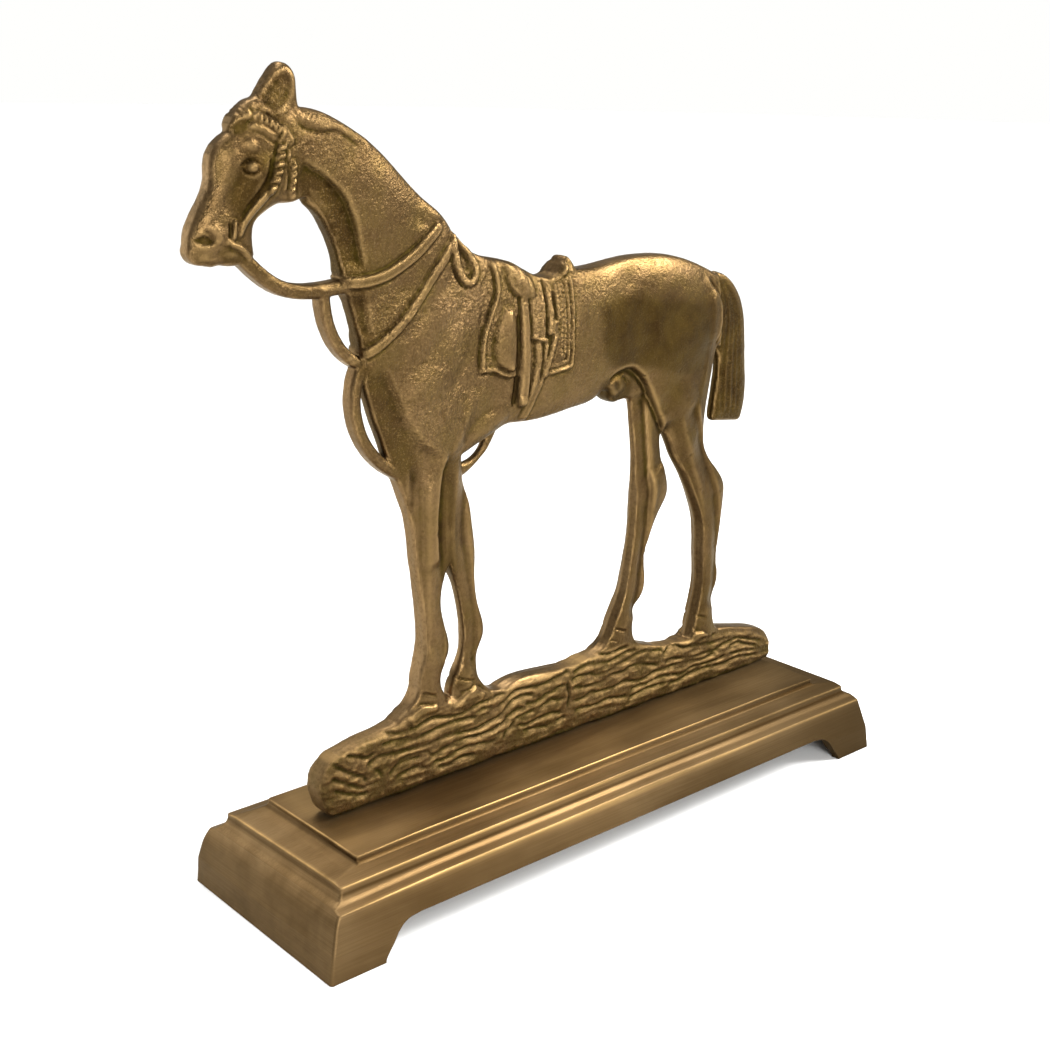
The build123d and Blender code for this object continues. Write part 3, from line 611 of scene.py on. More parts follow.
def bark():
    """Grooves that run along the ground strip like bark or cut turf."""
    grooves = (
        [(-117, 60.4), (-110, 61.4), (-103, 62.9), (-97, 63.1), (-92, 61.8), (-88, 60.8), (-80, 61),
         (-72, 62.4),
         (-65, 61), (-58, 60), (-50, 61.6), (-42, 62.4), (-34, 63.2)],
        [(-98, 58), (-92, 58.5), (-86, 57.5), (-80, 56.3), (-74, 56.8), (-68, 57.6), (-60, 57.7),
         (-54, 57.3),
         (-49, 56.4)],
        [(-105, 51.8), (-99, 53.9), (-95, 53.7), (-88, 52.8), (-80, 52), (-73, 51.8), (-66, 52.7),
         (-58, 52),
         (-51, 51.3), (-44, 52.4), (-38, 53.6), (-34, 56), (-30, 58.3), (-24, 58.8), (-18, 57.6)],
        [(-120, 57), (-115, 53.5), (-110, 50.2), (-105.4, 47.6), (-104, 44)],
        [(-121, 52), (-117, 49.5), (-112, 46.5), (-107, 43.6), (-103, 42.5)],
        [(-120, 47), (-115, 44), (-109, 41.6), (-103, 40.4)],
        [(-114, 59), (-108.5, 57), (-103.5, 55.2), (-99, 56.6)],
        [(-101, 50), (-98, 47.5), (-96.5, 44)],
        [(-94.5, 43.5), (-91, 47), (-87, 48.4), (-80, 48), (-74, 47.4)],
        [(-92, 42.4), (-86, 43.8), (-79, 43.9), (-75, 41.6)],
        [(-90, 49.6), (-84, 49.9), (-76, 49.2), (-72, 47), (-66, 48.2), (-60, 49), (-54, 48.8), (-46, 48.3),
         (-40, 48.6), (-35, 50.5), (-30, 53), (-24, 53.8)],
        [(-73, 44.5), (-67, 43.2), (-60, 44.5), (-54, 45), (-48, 44.4), (-42, 43.5), (-38, 44.6)],
        [(-71, 41), (-64, 40.3), (-57, 41.4), (-50, 40.6)],
        [(-49, 60.4), (-44, 58.8), (-39, 58), (-34, 59.8), (-29, 62), (-22, 61.5), (-16, 60.8), (-10, 61.6),
         (-4, 62), (2, 63.2)],
        [(-25, 55.5), (-18, 54.4), (-12, 55.8), (-6, 57), (-1, 58)],
        [(-30, 50), (-24, 50.4), (-18, 51.2)],
        [(-17, 50.4), (-13, 51.8), (-9, 52.6), (-5, 51.4), (0, 51.8)],
        [(-28, 47), (-23, 45.4), (-17, 46.2), (-11, 46.9), (-6, 46), (-2, 45.2)],
        [(-26, 43.5), (-20, 43), (-14, 42), (-10, 41.2)],
        [(-36, 42), (-34, 45), (-31, 47.6), (-29.4, 50.2)],
        [(-8, 41), (-3, 42.8), (0, 43.4)],
        [(-1, 59), (0.6, 55), (1, 50), (0, 45.5)],
        [(2, 61.4), (10, 62.8), (16, 62.3), (24, 61.2), (30, 62), (36, 63), (42, 62.4)],
        [(12, 65.6), (18, 66), (24, 64.5), (30, 65.3), (36, 65.5)],
        [(1, 58), (6, 59), (12, 58.6), (18, 57), (24, 57.2), (30, 58.3), (36, 59.4), (42, 60.5), (48, 60),
         (54, 58.6), (59, 57.6)],
        [(2, 55), (8, 53.8), (14, 53), (20, 53), (26, 54.8), (32, 54.2), (38, 55.2), (44, 55), (50, 53.2),
         (56, 51.2)],
        [(57, 54.4), (61, 57.8), (66, 58), (71, 56), (78, 55), (85, 54), (92, 53.3), (100, 54)],
        [(58, 51.4), (64, 52.4), (70, 51), (77, 50), (85, 49.6), (92, 49), (100, 51), (107, 51.6),
         (114, 49.6),
         (121, 47.4), (125, 46.6)],
        [(2, 49), (8, 48.6), (14, 49.7), (20, 48.8), (27, 48.3), (34, 49.5), (40, 48), (46, 47.5),
         (52, 48.8),
         (58, 49), (66, 48.9), (75, 48), (84, 47.2), (94, 47.6)],
        [(3, 43.5), (10, 44), (17, 43.5), (24, 44.1), (31, 42.8), (36, 42)],
        [(37, 44), (43, 45), (50, 44.4), (57, 45.8), (64, 44.5), (71, 43.2), (78, 44.9), (85, 44.2),
         (92, 43.8),
         (100, 45)],
        [(101, 48), (108, 49.2), (115, 46.6), (123, 44)],
        [(61, 40.5), (70, 40.8), (80, 42.4), (90, 41.5), (100, 41), (107, 42), (115, 41), (123, 40)],
        [(36, 40.5), (44, 41.6), (52, 42.2), (60, 41.4)],
        [(102, 45), (108, 44.2), (114, 43.6), (122, 42.6)],
        [(88, 57.6), (98, 57.2), (107, 55.4), (115, 53)],
    )
    for groove in grooves:
        crease(groove, 0.95, 1.35, 3)


def noise(radius):
    """Even random relief of one grain size, with unit spread."""
    field = blur(rng.standard_normal(GX.shape), radius)
    return field / field.std()


def streaks():
    """Fine grain drawn out along the strip."""
    field = rng.standard_normal(GX.shape)
    field = blur(field, 0.45)
    shifted = [np.roll(field, shift, axis=0) for shift in range(-6, 7)]
    drawn = sum(shifted)
    return drawn / drawn.std()


far_all = signed_distance(section("horse_casting", FIGURE_Y))
far_body = signed_distance(section("horse_casting", FIGURE_Y - FACE_DEPTH))

body_muscles()
legs()
head()
tack()
tail()
patina_and_shade()
STRIP_TOP = [(-131, 57), (-118, 60.5), (-104, 63.2), (-92, 63), (-84, 66), (-50, 66.5), (-42, 64.2),
             (0, 64.8),
             (10, 66.5), (36, 66.5), (46, 62.5), (70, 58.6), (86, 58.6), (100, 56.6), (118, 52), (133, 44)]
on_strip = ease((np.interp(GX, *zip(*STRIP_TOP)) - GZ) / 3.0 + 0.5)
# the face, the ear and the forelock; the outline closes well inside the neck
HEAD_OUTLINE = [
    (-156, 243.2), (-163, 244.3), (-166.8, 245.7), (-168.6, 247.6), (-169.3, 249.8), (-169.3, 253),
    (-168.3, 256.5), (-166.1, 260.6), (-163.5, 264.7),
    (-161.5, 268.2), (-160.7, 271.3), (-160.6, 275.3), (-159.9, 278.9), (-157.9, 282), (-154.8, 284.2),
    (-153.1, 285.6), (-152.9, 287.6), (-151.3, 290.6), (-148.2, 293.4), (-145.7, 294.8), (-143.4, 295.5),
    (-141.2, 297.7), (-138.7, 301.2), (-135.9, 304.7), (-134, 306.7), (-132.6, 307.2), (-131.2, 306.4),
    (-129, 304.7), (-127.9, 302.8), (-127.5, 300.8), (-128.1, 296.8), (-128.6, 293.3), (-124, 294),
    (-95, 312), (-95, 215), (-150, 215), (-150, 238)]
HEAD_BACK_X = -118            # the drawn head outline holds in front of this
EAR_BACK_X, EAR_FOOT_Z = -128, 291.5
PIT_COUNT = 900

other_cuts = CUT.copy()
CUT[:] = 0
bark()
bark_cut = CUT.copy()
CUT[:] = other_cuts

# regions of the figure, each from 0 to 1
on_tail = ease((GX - 82 - 0.25 * np.maximum(0, 205 - GZ) * (GZ > 190)) / 2) * ease((GZ - 150) / 4)
off_both = (1 - on_strip) * (1 - on_tail)
leg_zone = ease((168 - GZ) / 26) * off_both
head_zone = ease((HEAD_BACK_X - GX) / 8) * ease((GZ - 238) / 6)
hind = ease((GX - 10) / 4)
far_fore = ease((-66 - 0.12 * np.maximum(0, GZ - 120) - GX) / -2) * ease((-44 - GX) / 4)
far_fore *= ease((128 - GZ) / 14)
smooth_zone = np.maximum(0.85 * leg_zone, 0.5 * head_zone)
smooth_zone = np.maximum(smooth_zone, 0.75 * ease((GX - 4) / 18) * off_both)

# outlines of the front and back faces and of the whole casting
faces_left = np.clip(-np.gradient(blur(far_body, 0.6), STEP, axis=0), 0, 1) * (1 - on_strip)
fore_part = ease((-58 - GX) / 6) * (1 - head_zone)
far_body = far_body - 0.5 + 0.3 * leg_zone - faces_left * (0.9 * fore_part - 0.9 * leg_zone * hind)
far_body -= 3.0 * faces_left * head_zone + 1.5 * on_tail
cells, d = inside_distance(HEAD_OUTLINE, 9)
on_ear = (GZ[cells] > EAR_FOOT_Z) & (GX[cells] < EAR_BACK_X)
cut = np.where(on_ear, -d, np.maximum(far_body[cells], -d))
far_body[cells] = np.where(GX[cells] < HEAD_BACK_X, cut, far_body[cells])
tail_end = (on_tail > 0.5) & (GZ < 175)
hanging = np.roll(far_body, -int(round(1.2 / STEP)), axis=1)
far_body = np.where(tail_end, np.minimum(far_body, hanging), far_body)
far_all = np.minimum(far_all - 0.3, np.where(tail_end, hanging, FAR))
knots = np.arange(-180, 150, 7)
ragged = np.interp(grid_x, knots, rng.uniform(35.3, 36.2, 48)[:len(knots)])
under = ragged[:, None] + 0.05 * np.maximum(0, -118 - GX) ** 1.7
far_body = np.maximum(far_body, under - GZ)
far_all = np.maximum(far_all, under - GZ)

# half thickness at each place
depth_in = np.clip(-far_body, 0, FAR)
pillow = blur(1 - np.exp(-depth_in / 3.5), 1.0) + 0.6 * (1 - np.exp(-depth_in / 9.0)) * (1 - on_tail)
half = BODY_EDGE - 0.6 - 1.7 * head_zone - 1.3 * far_fore - 2.0 * on_tail
half = half + (1.9 - 0.6 * leg_zone + 0.8 * head_zone + 0.6 * far_fore) * pillow
half = half + blur(SWELL, 0.5) + blur(RAISED, 0.25)
half = half * (1 - on_strip) + on_strip * (4.9 + 0.3 * ease(depth_in / 3) + 0.5 * blur(RAISED, 0.4))
half -= blur(CUT, 0.2) * (1 - 0.75 * on_strip)
wobble = 0.85 + 0.18 * np.clip(noise(3.0), -2, 2)
half -= on_strip * blur(bark_cut, 0.2) * wobble
half += (0.03 + 0.09 * PEBBLE) * (1 - 0.7 * smooth_zone) * noise(0.5) + 0.05 * noise(2.2) \
    + on_strip * (0.06 * noise(0.6) + 0.16 * streaks())
for x, z in zip(rng.uniform(LOW_X, HIGH_X, PIT_COUNT), rng.uniform(60, HIGH_Z, PIT_COUNT)):
    size = rng.uniform(0.3, 0.7)
    cells = window((x - 2, z - 2), (x + 2, z + 2))
    spread = ((GX[cells] - x) ** 2 + (GZ[cells] - z) ** 2) / size ** 2
    half[cells] -= rng.uniform(0.1, 0.4) * np.exp(-spread)
edge_round = (1.7 - 0.4 * leg_zone - 0.1 * head_zone) * (1 - on_strip) + 2.0 * on_strip
edge_round = np.where(GZ < 42, 0.7 + 1.3 * ease((GZ - 36) / 6), edge_round)
rein_half = 3.9 - 1.7 * ease((GX + 62) / 4) + 0.05 * noise(1.0)


# ------------------------------------------------------------------ mesh from the implicit figure
def solid_value(y):
    """Signed distance-like value of the figure for offsets y from its middle plane."""
    def plate(far, thick, rounding):
        a = far[:, None, :] + rounding
        b = np.abs(y)[None, :, None] - thick[:, None, :] + rounding
        return np.minimum(np.maximum(a, b), 0) + np.hypot(np.maximum(a, 0), np.maximum(b, 0)) - rounding
    edge = edge_round[:, None, :]
    body = plate(far_body, half, edge)
    rein = plate(far_all, rein_half, REIN_ROUND)
    blend = 0.9
    h = np.clip(0.5 + 0.5 * (rein - body) / blend, 0, 1)
    return rein + (body - rein) * h - blend * h * (1 - h)


def surface_net(value, origin, step):
    """Closed quad mesh on the zero level of a grid of values: one vertex in each crossed cell."""
    nx, ny, nz = value.shape
    stride = (ny * nz, nz, 1)
    total = nx * ny * nz
    inside = value < 0
    count = np.zeros(total)
    sums = [np.zeros(total) for _ in range(3)]
    crossings = []
    for axis in range(3):
        first = [slice(None)] * 3
        second = [slice(None)] * 3
        first[axis] = slice(0, -1)
        second[axis] = slice(1, None)
        change = inside[tuple(first)] != inside[tuple(second)]
        index = np.argwhere(change)
        flat = index @ np.array(stride)
        va = value.reshape(-1)[flat]
        vb = value.reshape(-1)[flat + stride[axis]]
        t = va / (va - vb)
        place = index.astype(float)
        place[:, axis] += t
        other = [stride[k] for k in range(3) if k != axis]
        cells = [flat - other[0] - other[1], flat - other[1], flat, flat - other[0]]
        for cell in cells:
            count += np.bincount(cell, minlength=total)
            for k in range(3):
                sums[k] += np.bincount(cell, weights=place[:, k], minlength=total)
        crossings.append((cells, va < 0))
    used = np.nonzero(count > 0)[0]
    number = np.full(total, -1)
    number[used] = np.arange(len(used))
    points = np.stack([sums[k][used] / count[used] for k in range(3)], 1) * step + np.array(origin)
    quads = []
    for axis, (cells, outward) in enumerate(crossings):
        quad = np.stack([number[c] for c in cells], 1)
        flip = outward if axis != 1 else ~outward
        quads.append(np.where(flip[:, None], quad[:, ::-1], quad))
    return points, np.vstack(quads)


def make_mesh(name, points, faces):
    """A mesh object in metres from points in plinth millimetres."""
    mesh = bpy.data.meshes.new(name)
    place = np.array(points, float)
    place = (place + np.array([MIDDLE_X, 0, 0])) / 1000.0
    mesh.vertices.add(len(place))
    mesh.vertices.foreach_set("co", place.astype(np.float32).ravel())
    faces = np.asarray(faces)
    sides = faces.shape[1]
    mesh.loops.add(faces.size)
    mesh.loops.foreach_set("vertex_index", faces.astype(np.int32).ravel())
    mesh.polygons.add(len(faces))
    mesh.polygons.foreach_set("loop_start", (np.arange(len(faces)) * sides).astype(np.int32))
    mesh.polygons.foreach_set("loop_total", np.full(len(faces), sides, np.int32))
    mesh.update(calc_edges=True)
    mesh.validate()
    thing = bpy.data.objects.new(name, mesh)
    bpy.context.scene.collection.objects.link(thing)
    return thing


def sample(field, x, z):
    """Value of a relief field at points."""
    u = np.clip((x - LOW_X) / STEP, 0, field.shape[0] - 1.001)
    v = np.clip((z - LOW_Z) / STEP, 0, field.shape[1] - 1.001)
    i, k = u.astype(int), v.astype(int)
    fu, fv = u - i, v - k
    low = field[i, k] * (1 - fv) + field[i, k + 1] * fv
    high = field[i + 1, k] * (1 - fv) + field[i + 1, k + 1] * fv
    return low * (1 - fu) + high * fu


def put_attribute(thing, name, values):
    layer = thing.data.attributes.new(name, "FLOAT", "POINT")
    layer.data.foreach_set("value", np.asarray(values, np.float32))


def shade_smooth(thing):
    mesh = thing.data
    mesh.polygons.foreach_set("use_smooth", np.ones(len(mesh.polygons), bool))
    mesh.update()


offsets = np.arange(-REACH_Y, REACH_Y + 0.01, STEP)
points, quads = surface_net(solid_value(offsets), (LOW_X, -REACH_Y + FIGURE_Y, LOW_Z), STEP)
points[:, 2] = np.maximum(points[:, 2], PLINTH_TOP)
horse = make_mesh("horse_relief", points, quads)
shade_smooth(horse)

fine = blur(half, 0.8) - half
broad = blur(half, 2.6) - half
# Recesses darkened in the colour: olive patina there, and painted shade.
recess_patina_and_shade = np.clip(1.5 * fine + 0.3 * broad, 0, 1)
recess_patina_and_shade *= ease((depth_in - 0.4) / 1.6)
# Painted contact shadow along the strip's bottom edge.
recess_patina_and_shade = np.maximum(recess_patina_and_shade, ease((37.4 - GZ) / 1.6))
wear = np.clip(-1.8 * fine - 0.25 * broad, 0, 1)
px, py, pz = points[:, 0], points[:, 1] - FIGURE_Y, points[:, 2]
put_attribute(horse, "recess_patina_and_shade", sample(recess_patina_and_shade, px, pz))
put_attribute(horse, "wear", sample(wear, px, pz))
put_attribute(horse, "bark", sample(on_strip, px, pz))
put_attribute(horse, "rim", 1 - ease((np.abs(py) - 3.2) / 2.4))
put_attribute(horse, "patina_and_shade", sample(blur(PATINA_AND_SHADE, 0.8) * (1 - on_strip), px, pz))
put_attribute(horse, "pebble", sample(PEBBLE, px, pz))
put_attribute(horse, "smooth", sample(smooth_zone, px, pz))


# ------------------------------------------------------------------ plinth
def rounded(profile, radius):
    """The profile's corners as small arcs, for (reach, z) points with rising z."""
    p = [np.array(q, float) for q in profile]
    out = [p[0]]
    for a, b, c in zip(p[:-2], p[1:-1], p[2:]):
        u, v = a - b, c - b
        lu, lv = np.linalg.norm(u), np.linalg.norm(v)
        cut = min(radius, 0.45 * lu, 0.45 * lv)
        start, end = b + u / lu * cut, b + v / lv * cut
        for t in np.linspace(0, 1, 5):
            out.append((1 - t) ** 2 * start + 2 * t * (1 - t) * b + t * t * end)
    out.append(p[-1])
    return np.array(out)


def plinth_profile(foot, ridge_at, ridge_z, tier, tier_z, deck):
    """Outline (reach, z) from the foot up the skirt, over the ridge and the tier to the deck."""
    to_tier = tier_z - FASCIA - ridge_z
    to_deck = PLINTH_TOP - FASCIA - tier_z
    return [
        (foot, 0),
        (foot - 0.22 * (foot - ridge_at), 0.42 * ridge_z),
        (ridge_at, ridge_z),
        (0.4 * ridge_at + 0.6 * tier, ridge_z + 0.28 * to_tier),
        (tier + 0.9, ridge_z + 0.55 * to_tier),
        (tier, tier_z - FASCIA),
        (tier, tier_z - 0.05),
        (0.4 * tier + 0.6 * deck, tier_z + 0.25 * to_deck),
        (deck + 0.9, tier_z + 0.5 * to_deck),
        (deck, PLINTH_TOP - FASCIA),
        (deck, PLINTH_TOP - 0.02),
        (deck - 1.6, PLINTH_TOP),
    ]


side_profile = rounded(plinth_profile(*SIDE_SIZES), 0.55)
end_profile = rounded(plinth_profile(*END_SIZES), 0.55)


def hand_buffed(pts):
    """The casting's small departures from square: edges bowed and rolled over by hand finishing."""
    x, y, z = pts.T
    left = ease((-x - 90) / 60)
    foot = ease(1 - z / 20)
    deck = ease((z - 31) / 3)
    out = pts.copy()
    out[:, 0] += left * (foot * 1.6 + deck * 1.0) * y / 47
    out[:, 0] += left * 1.2 * np.exp(-((z - 24) / 3.5) ** 2)
    middle = 1 - (x / 152) ** 2
    front = ease((-y - 20) / 15)
    waist = ease(z / 18) * (1 - ease((z - 30) / 4))
    out[:, 2] += front * waist * (0.9 * middle - 0.15)
    out[:, 2] -= deck * 0.5 * ease((np.abs(x) - 95) / 35) * ease((-y - 5) / 25)
    out[:, 2] -= left * 0.7 * np.exp(-((z - 25) / 2.5) ** 2)
    out[:, 2] += 0.12 * np.sin(x / 17.0 + 1.0) * ease((z - 15) / 8) * front
    return out


def lofted(name, rings):
    """A closed mesh object from rings of points in plinth millimetres, each joined to the next."""
    bm = bmesh.new()
    rows = [[bm.verts.new(((x + MIDDLE_X) / 1000, y / 1000, z / 1000)) for x, y,
             z in ring] for ring in rings]
    for a, b in zip(rows[:-1], rows[1:]):
        for j in range(len(a)):
            k = (j + 1) % len(a)
            bm.faces.new((a[j], a[k], b[k], b[j]))
    bm.faces.new(rows[0][::-1])
    bm.faces.new(rows[-1])
    bmesh.ops.recalc_face_normals(bm, faces=bm.faces)
    mesh = bpy.data.meshes.new(name)
    bm.to_mesh(mesh)
    bm.free()
    thing = bpy.data.objects.new(name, mesh)
    bpy.context.scene.collection.objects.link(thing)
    return thing


def plinth_ring(z):
    """One level ring around the plinth, anticlockwise from the front left, with rounded corners."""
    l, w = (np.interp(z, profile[:, 1], profile[:, 0]) for profile in (end_profile, side_profile))
    x, y = l - CORNER_RADIUS, w - CORNER_RADIUS
    along_x, along_y = np.linspace(-1, 1, 41), np.linspace(-1, 1, 15)
    sides = ([(s * x, -w) for s in along_x], [(l, s * y) for s in along_y],
             [(-s * x, w) for s in along_x], [(-l, -s * y) for s in along_y])
    ring = []
    for quarter, (side, (cx, cy)) in enumerate(zip(sides, ((x, -y), (x, y), (-x, y), (-x, -y)))):
        ring += side
        for angle in (-75, -60, -45, -30, -15):
            a = math.radians(angle + 90 * quarter)
            ring.append((cx + CORNER_RADIUS * math.cos(a), cy + CORNER_RADIUS * math.sin(a)))
    return [(u, v, z) for u, v in ring]


def plinth_rings():
    """Rings of points from the foot to the deck, with the marks of hand finishing."""
    heights = np.concatenate([side_profile[:, 1], end_profile[:, 1], np.arange(0, 35, 1.6)])
    levels = np.unique(np.round(heights, 3))
    keep = [levels[0]]
    for z in levels[1:]:
        if z - keep[-1] > 0.02:
            keep.append(z)
    rings = np.array([plinth_ring(z) for z in keep])
    return hand_buffed(rings.reshape(-1, 3)).reshape(rings.shape)


def hollow_block():
    """The space inside the plinth, one wall in."""
    stages = ((148.5, 43.25, -2), (148.5, 43.25, 0), (143.9, 38.6, 21.6), (138.4, 33.2, 25.0),
              (125.3, 25.3, 29.9), (123.3, 23.3, 30.9))
    return lofted("hollow_space", [[(-l, -w, z), (l, -w, z), (l, w, z), (-l, w, z)] for l, w, z in stages])


def screw_hole(name):
    """A round bar through the plinth's top plate on a screw's axis."""
    low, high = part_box(name)
    x, y = 500 * (low.x + high.x) - MIDDLE_X, 500 * (low.y + high.y)
    circle = [(x + SCREW_CLEARANCE * math.cos(a), y + SCREW_CLEARANCE * math.sin(a))
              for a in np.linspace(0, 2 * math.pi, 33)[:-1]]
    return lofted("drill_" + name, [[(u, v, z) for u, v in circle] for z in (36, 26)])


def arch_loop():
    """Outline (x, z) of the long shallow arch between the bracket feet."""
    half_span = 152.5 - 22.5
    right = smooth_path([(half_span, -1), (half_span - 0.3, 1.5), (half_span - 4, 6.2)], 6)
    shoulder = smooth_path([(half_span - 4, 6.2), (half_span - 6.8, 10.0), (half_span - 11, 12.6),
                            (half_span - 17, 13.4)], 6)
    half_loop = [tuple(p) for p in right] + [tuple(p) for p in shoulder[1:]]
    left = [(-x, z) for x, z in reversed(half_loop)]
    return half_loop + left


def cut_away(thing, tool):
    step = thing.modifiers.new("cut", "BOOLEAN")
    step.operation = "DIFFERENCE"
    step.solver = "EXACT"
    step.object = tool
    bake(thing)
    bpy.data.objects.remove(tool)


def bake(thing):
    """Applies the modifiers to the mesh."""
    view = bpy.context.evaluated_depsgraph_get()
    view.update()
    fresh = bpy.data.meshes.new_from_object(thing.evaluated_get(view))
    thing.modifiers.clear()
    thing.data = fresh


plinth = lofted("plinth_brushed", plinth_rings())
cut_away(plinth, hollow_block())
cut_away(plinth, lofted("arch_space", [[(x, y, z) for x, z in arch_loop()] for y in (-60, 60)]))
for name in ("front_mounting_screw", "rear_mounting_screw"):
    cut_away(plinth, screw_hole(name))


# ------------------------------------------------------------------ materials
def colour(red, green, blue):
    """Linear colour from display values 0 to 255."""
    return tuple(((c / 255) ** 2.2) for c in (red, green, blue)) + (1.0,)


class Graph:
    """A short way to write node trees."""

    def __init__(self, name):
        self.material = bpy.data.materials.new(name)
        self.material.use_nodes = True
        self.tree = self.material.node_tree
        self.shader = self.tree.nodes["Principled BSDF"]
        self.place = self.node("ShaderNodeTexCoord").outputs["Object"]

    def node(self, kind, **inputs):
        made = self.tree.nodes.new(kind)
        for key, given in inputs.items():
            socket = made.inputs[key.replace("_", " ")]
            self.give(socket, given)
        return made

    def give(self, socket, given):
        if isinstance(given, bpy.types.NodeSocket):
            self.tree.links.new(given, socket)
        else:
            socket.default_value = given

    def attribute(self, name):
        made = self.tree.nodes.new("ShaderNodeAttribute")
        made.attribute_name = name
        return made.outputs["Fac"]

    def mapped(self, scale):
        return self.node("ShaderNodeMapping", Vector=self.place, Scale=scale).outputs[0]

    def noise(self, vector, scale, detail=4.0, rough=0.55):
        return self.node("ShaderNodeTexNoise", Vector=vector, Scale=scale, Detail=detail,
                         Roughness=rough).outputs[0]

    def ramp(self, value, *stops):
        made = self.tree.nodes.new("ShaderNodeValToRGB")
        self.tree.links.new(value, made.inputs[0])
        ramp = made.color_ramp
        while len(ramp.elements) < len(stops):
            ramp.elements.new(0.5)
        for element, (position, shade) in zip(ramp.elements, stops):
            element.position = position
            element.color = shade if isinstance(shade, tuple) else (shade, shade, shade, 1)
        return made.outputs[0]

    def mix(self, factor, a, b):
        made = self.tree.nodes.new("ShaderNodeMix")
        made.data_type = "RGBA"
        self.give(made.inputs[0], factor)
        self.give(made.inputs[6], a)
        self.give(made.inputs[7], b)
        return made.outputs[2]

    def math(self, kind, a, b=0.5, c=0.0):
        made = self.tree.nodes.new("ShaderNodeMath")
        made.operation = kind
        self.give(made.inputs[0], a)
        self.give(made.inputs[1], b)
        self.give(made.inputs[2], c)
        return made.outputs[0]

    def times(self, a, b):
        return self.math("MULTIPLY", a, b)

    def scaled(self, a, gain, offset):
        return self.math("MULTIPLY_ADD", a, gain, offset)

    def bump(self, height, strength, distance, normal=None):
        made = self.node("ShaderNodeBump", Height=height, Strength=strength, Distance=distance)
        if normal is not None:
            self.tree.links.new(normal, made.inputs["Normal"])
        return made.outputs[0]

    def finish(self, base, rough, normal, metallic=1.0, edge_tint=(0.82, 0.78, 0.7, 1)):
        self.give(self.shader.inputs["Base Color"], base)
        self.give(self.shader.inputs["Roughness"], rough)
        self.give(self.shader.inputs["Metallic"], metallic)
        self.give(self.shader.inputs["Specular Tint"], edge_tint)
        if normal is not None:
            self.give(self.shader.inputs["Normal"], normal)
        return self.material


def cast_bronze():
    g = Graph("cast_bronze_patina")
    names = ("recess_patina_and_shade", "wear", "bark", "rim", "patina_and_shade", "pebble", "smooth")
    recess_patina_and_shade, wear, bark, rim, patina_and_shade, pebble, smooth = (g.attribute(name) for name in names)
    grainy = g.scaled(smooth, -0.8, 1.0)
    shape = g.node("ShaderNodeNewGeometry")
    across = g.math("ABSOLUTE", g.node("ShaderNodeSeparateXYZ",
                                       Vector=shape.outputs["True Normal"]).outputs[1])
    arris_wear_and_highlight = g.times(rim, g.ramp(across, (0.5, 0.0), (0.66, 1.0), (0.82, 0.0)))
    rim = g.times(rim, g.ramp(across, (0.45, 1.0), (0.8, 0.0)))
    clouds = g.noise(g.place, 28.0, 5.0, 0.6)
    blotch = g.noise(g.place, 85.0, 4.0, 0.6)
    spots = g.noise(g.place, 650.0, 3.0, 0.6)
    grain = g.noise(g.place, 1500.0, 2.0, 0.6)
    base = g.ramp(clouds, (0.32, colour(70, 55, 35)), (0.5, colour(82, 65, 43)), (0.7, colour(93, 74, 51)))
    base = g.mix(g.ramp(blotch, (0.45, 0.0), (0.7, 0.35)), base, colour(76, 64, 32))
    olive = g.ramp(blotch, (0.35, colour(40, 29, 14)), (0.65, colour(57, 45, 22)))
    band = g.mix(g.math("MAXIMUM", smooth, bark), g.ramp(clouds, (0.3, colour(96, 76, 51)),
                                                         (0.7, colour(116, 93, 67))),
                 g.ramp(clouds, (0.3, colour(110, 88, 60)), (0.7, colour(132, 108, 77))))
    base = g.mix(g.times(rim, 0.8), base, band)
    # Olive colour where the patina is thick and where shade is painted.
    base = g.mix(patina_and_shade, base, olive)
    pits = g.scaled(pebble, 0.35, 0.3)
    base = g.mix(g.times(g.ramp(spots, (0.46, 0.0), (0.62, 1.0)), pits), base, olive)
    # Painted glints: bright colour on the tips of the fine grain.
    grain_glints = g.times(g.scaled(pebble, 0.2, 0.12), grainy)
    base = g.mix(g.times(g.ramp(grain, (0.54, 0.0), (0.7, 1.0)), grain_glints), base, colour(168, 138, 92))
    # Painted shade in the recesses, mixed with the olive patina there, and the painted contact shadow under
    # the strip.
    dark = g.ramp(blotch, (0.42, colour(30, 22, 9)), (0.62, colour(52, 44, 17)))
    dark = g.mix(g.times(bark, 0.3), dark, colour(64, 60, 28))
    depth = g.ramp(recess_patina_and_shade, (0.1, 0.0), (0.6, 0.8))
    base = g.mix(depth, base, dark)
    base = g.mix(g.times(bark, g.ramp(blotch, (0.35, 0.0), (0.65, 0.3))), base, colour(56, 51, 23))
    rubbed = g.times(g.ramp(wear, (0.12, 0.0), (0.7, 0.45)), g.scaled(bark, 0.7, 1.0))
    base = g.mix(rubbed, base, colour(138, 112, 74))
    # Polished wear and a painted highlight on the rounding between face and edge band.
    base = g.mix(g.times(arris_wear_and_highlight, g.ramp(blotch, (0.4, 0.15), (0.7, 0.6))), base, colour(168, 136, 92))
    rough = g.scaled(blotch, 0.2, 0.26)
    rough = g.scaled(depth, 0.25, rough)
    rough = g.scaled(patina_and_shade, 0.12, rough)
    rough = g.scaled(bark, 0.24, rough)
    amount = g.times(g.scaled(pebble, 0.8, 0.5), grainy)
    amount = g.times(amount, g.math("SUBTRACT", 1.0, g.times(rim, 0.8)))
    coarse = g.times(g.noise(g.place, 900.0, 3.0, 0.6), amount)
    first = g.bump(coarse, 0.8, 0.0009)
    second = g.bump(grain, 0.35, 0.0003, first)
    return g.finish(base, rough, second)


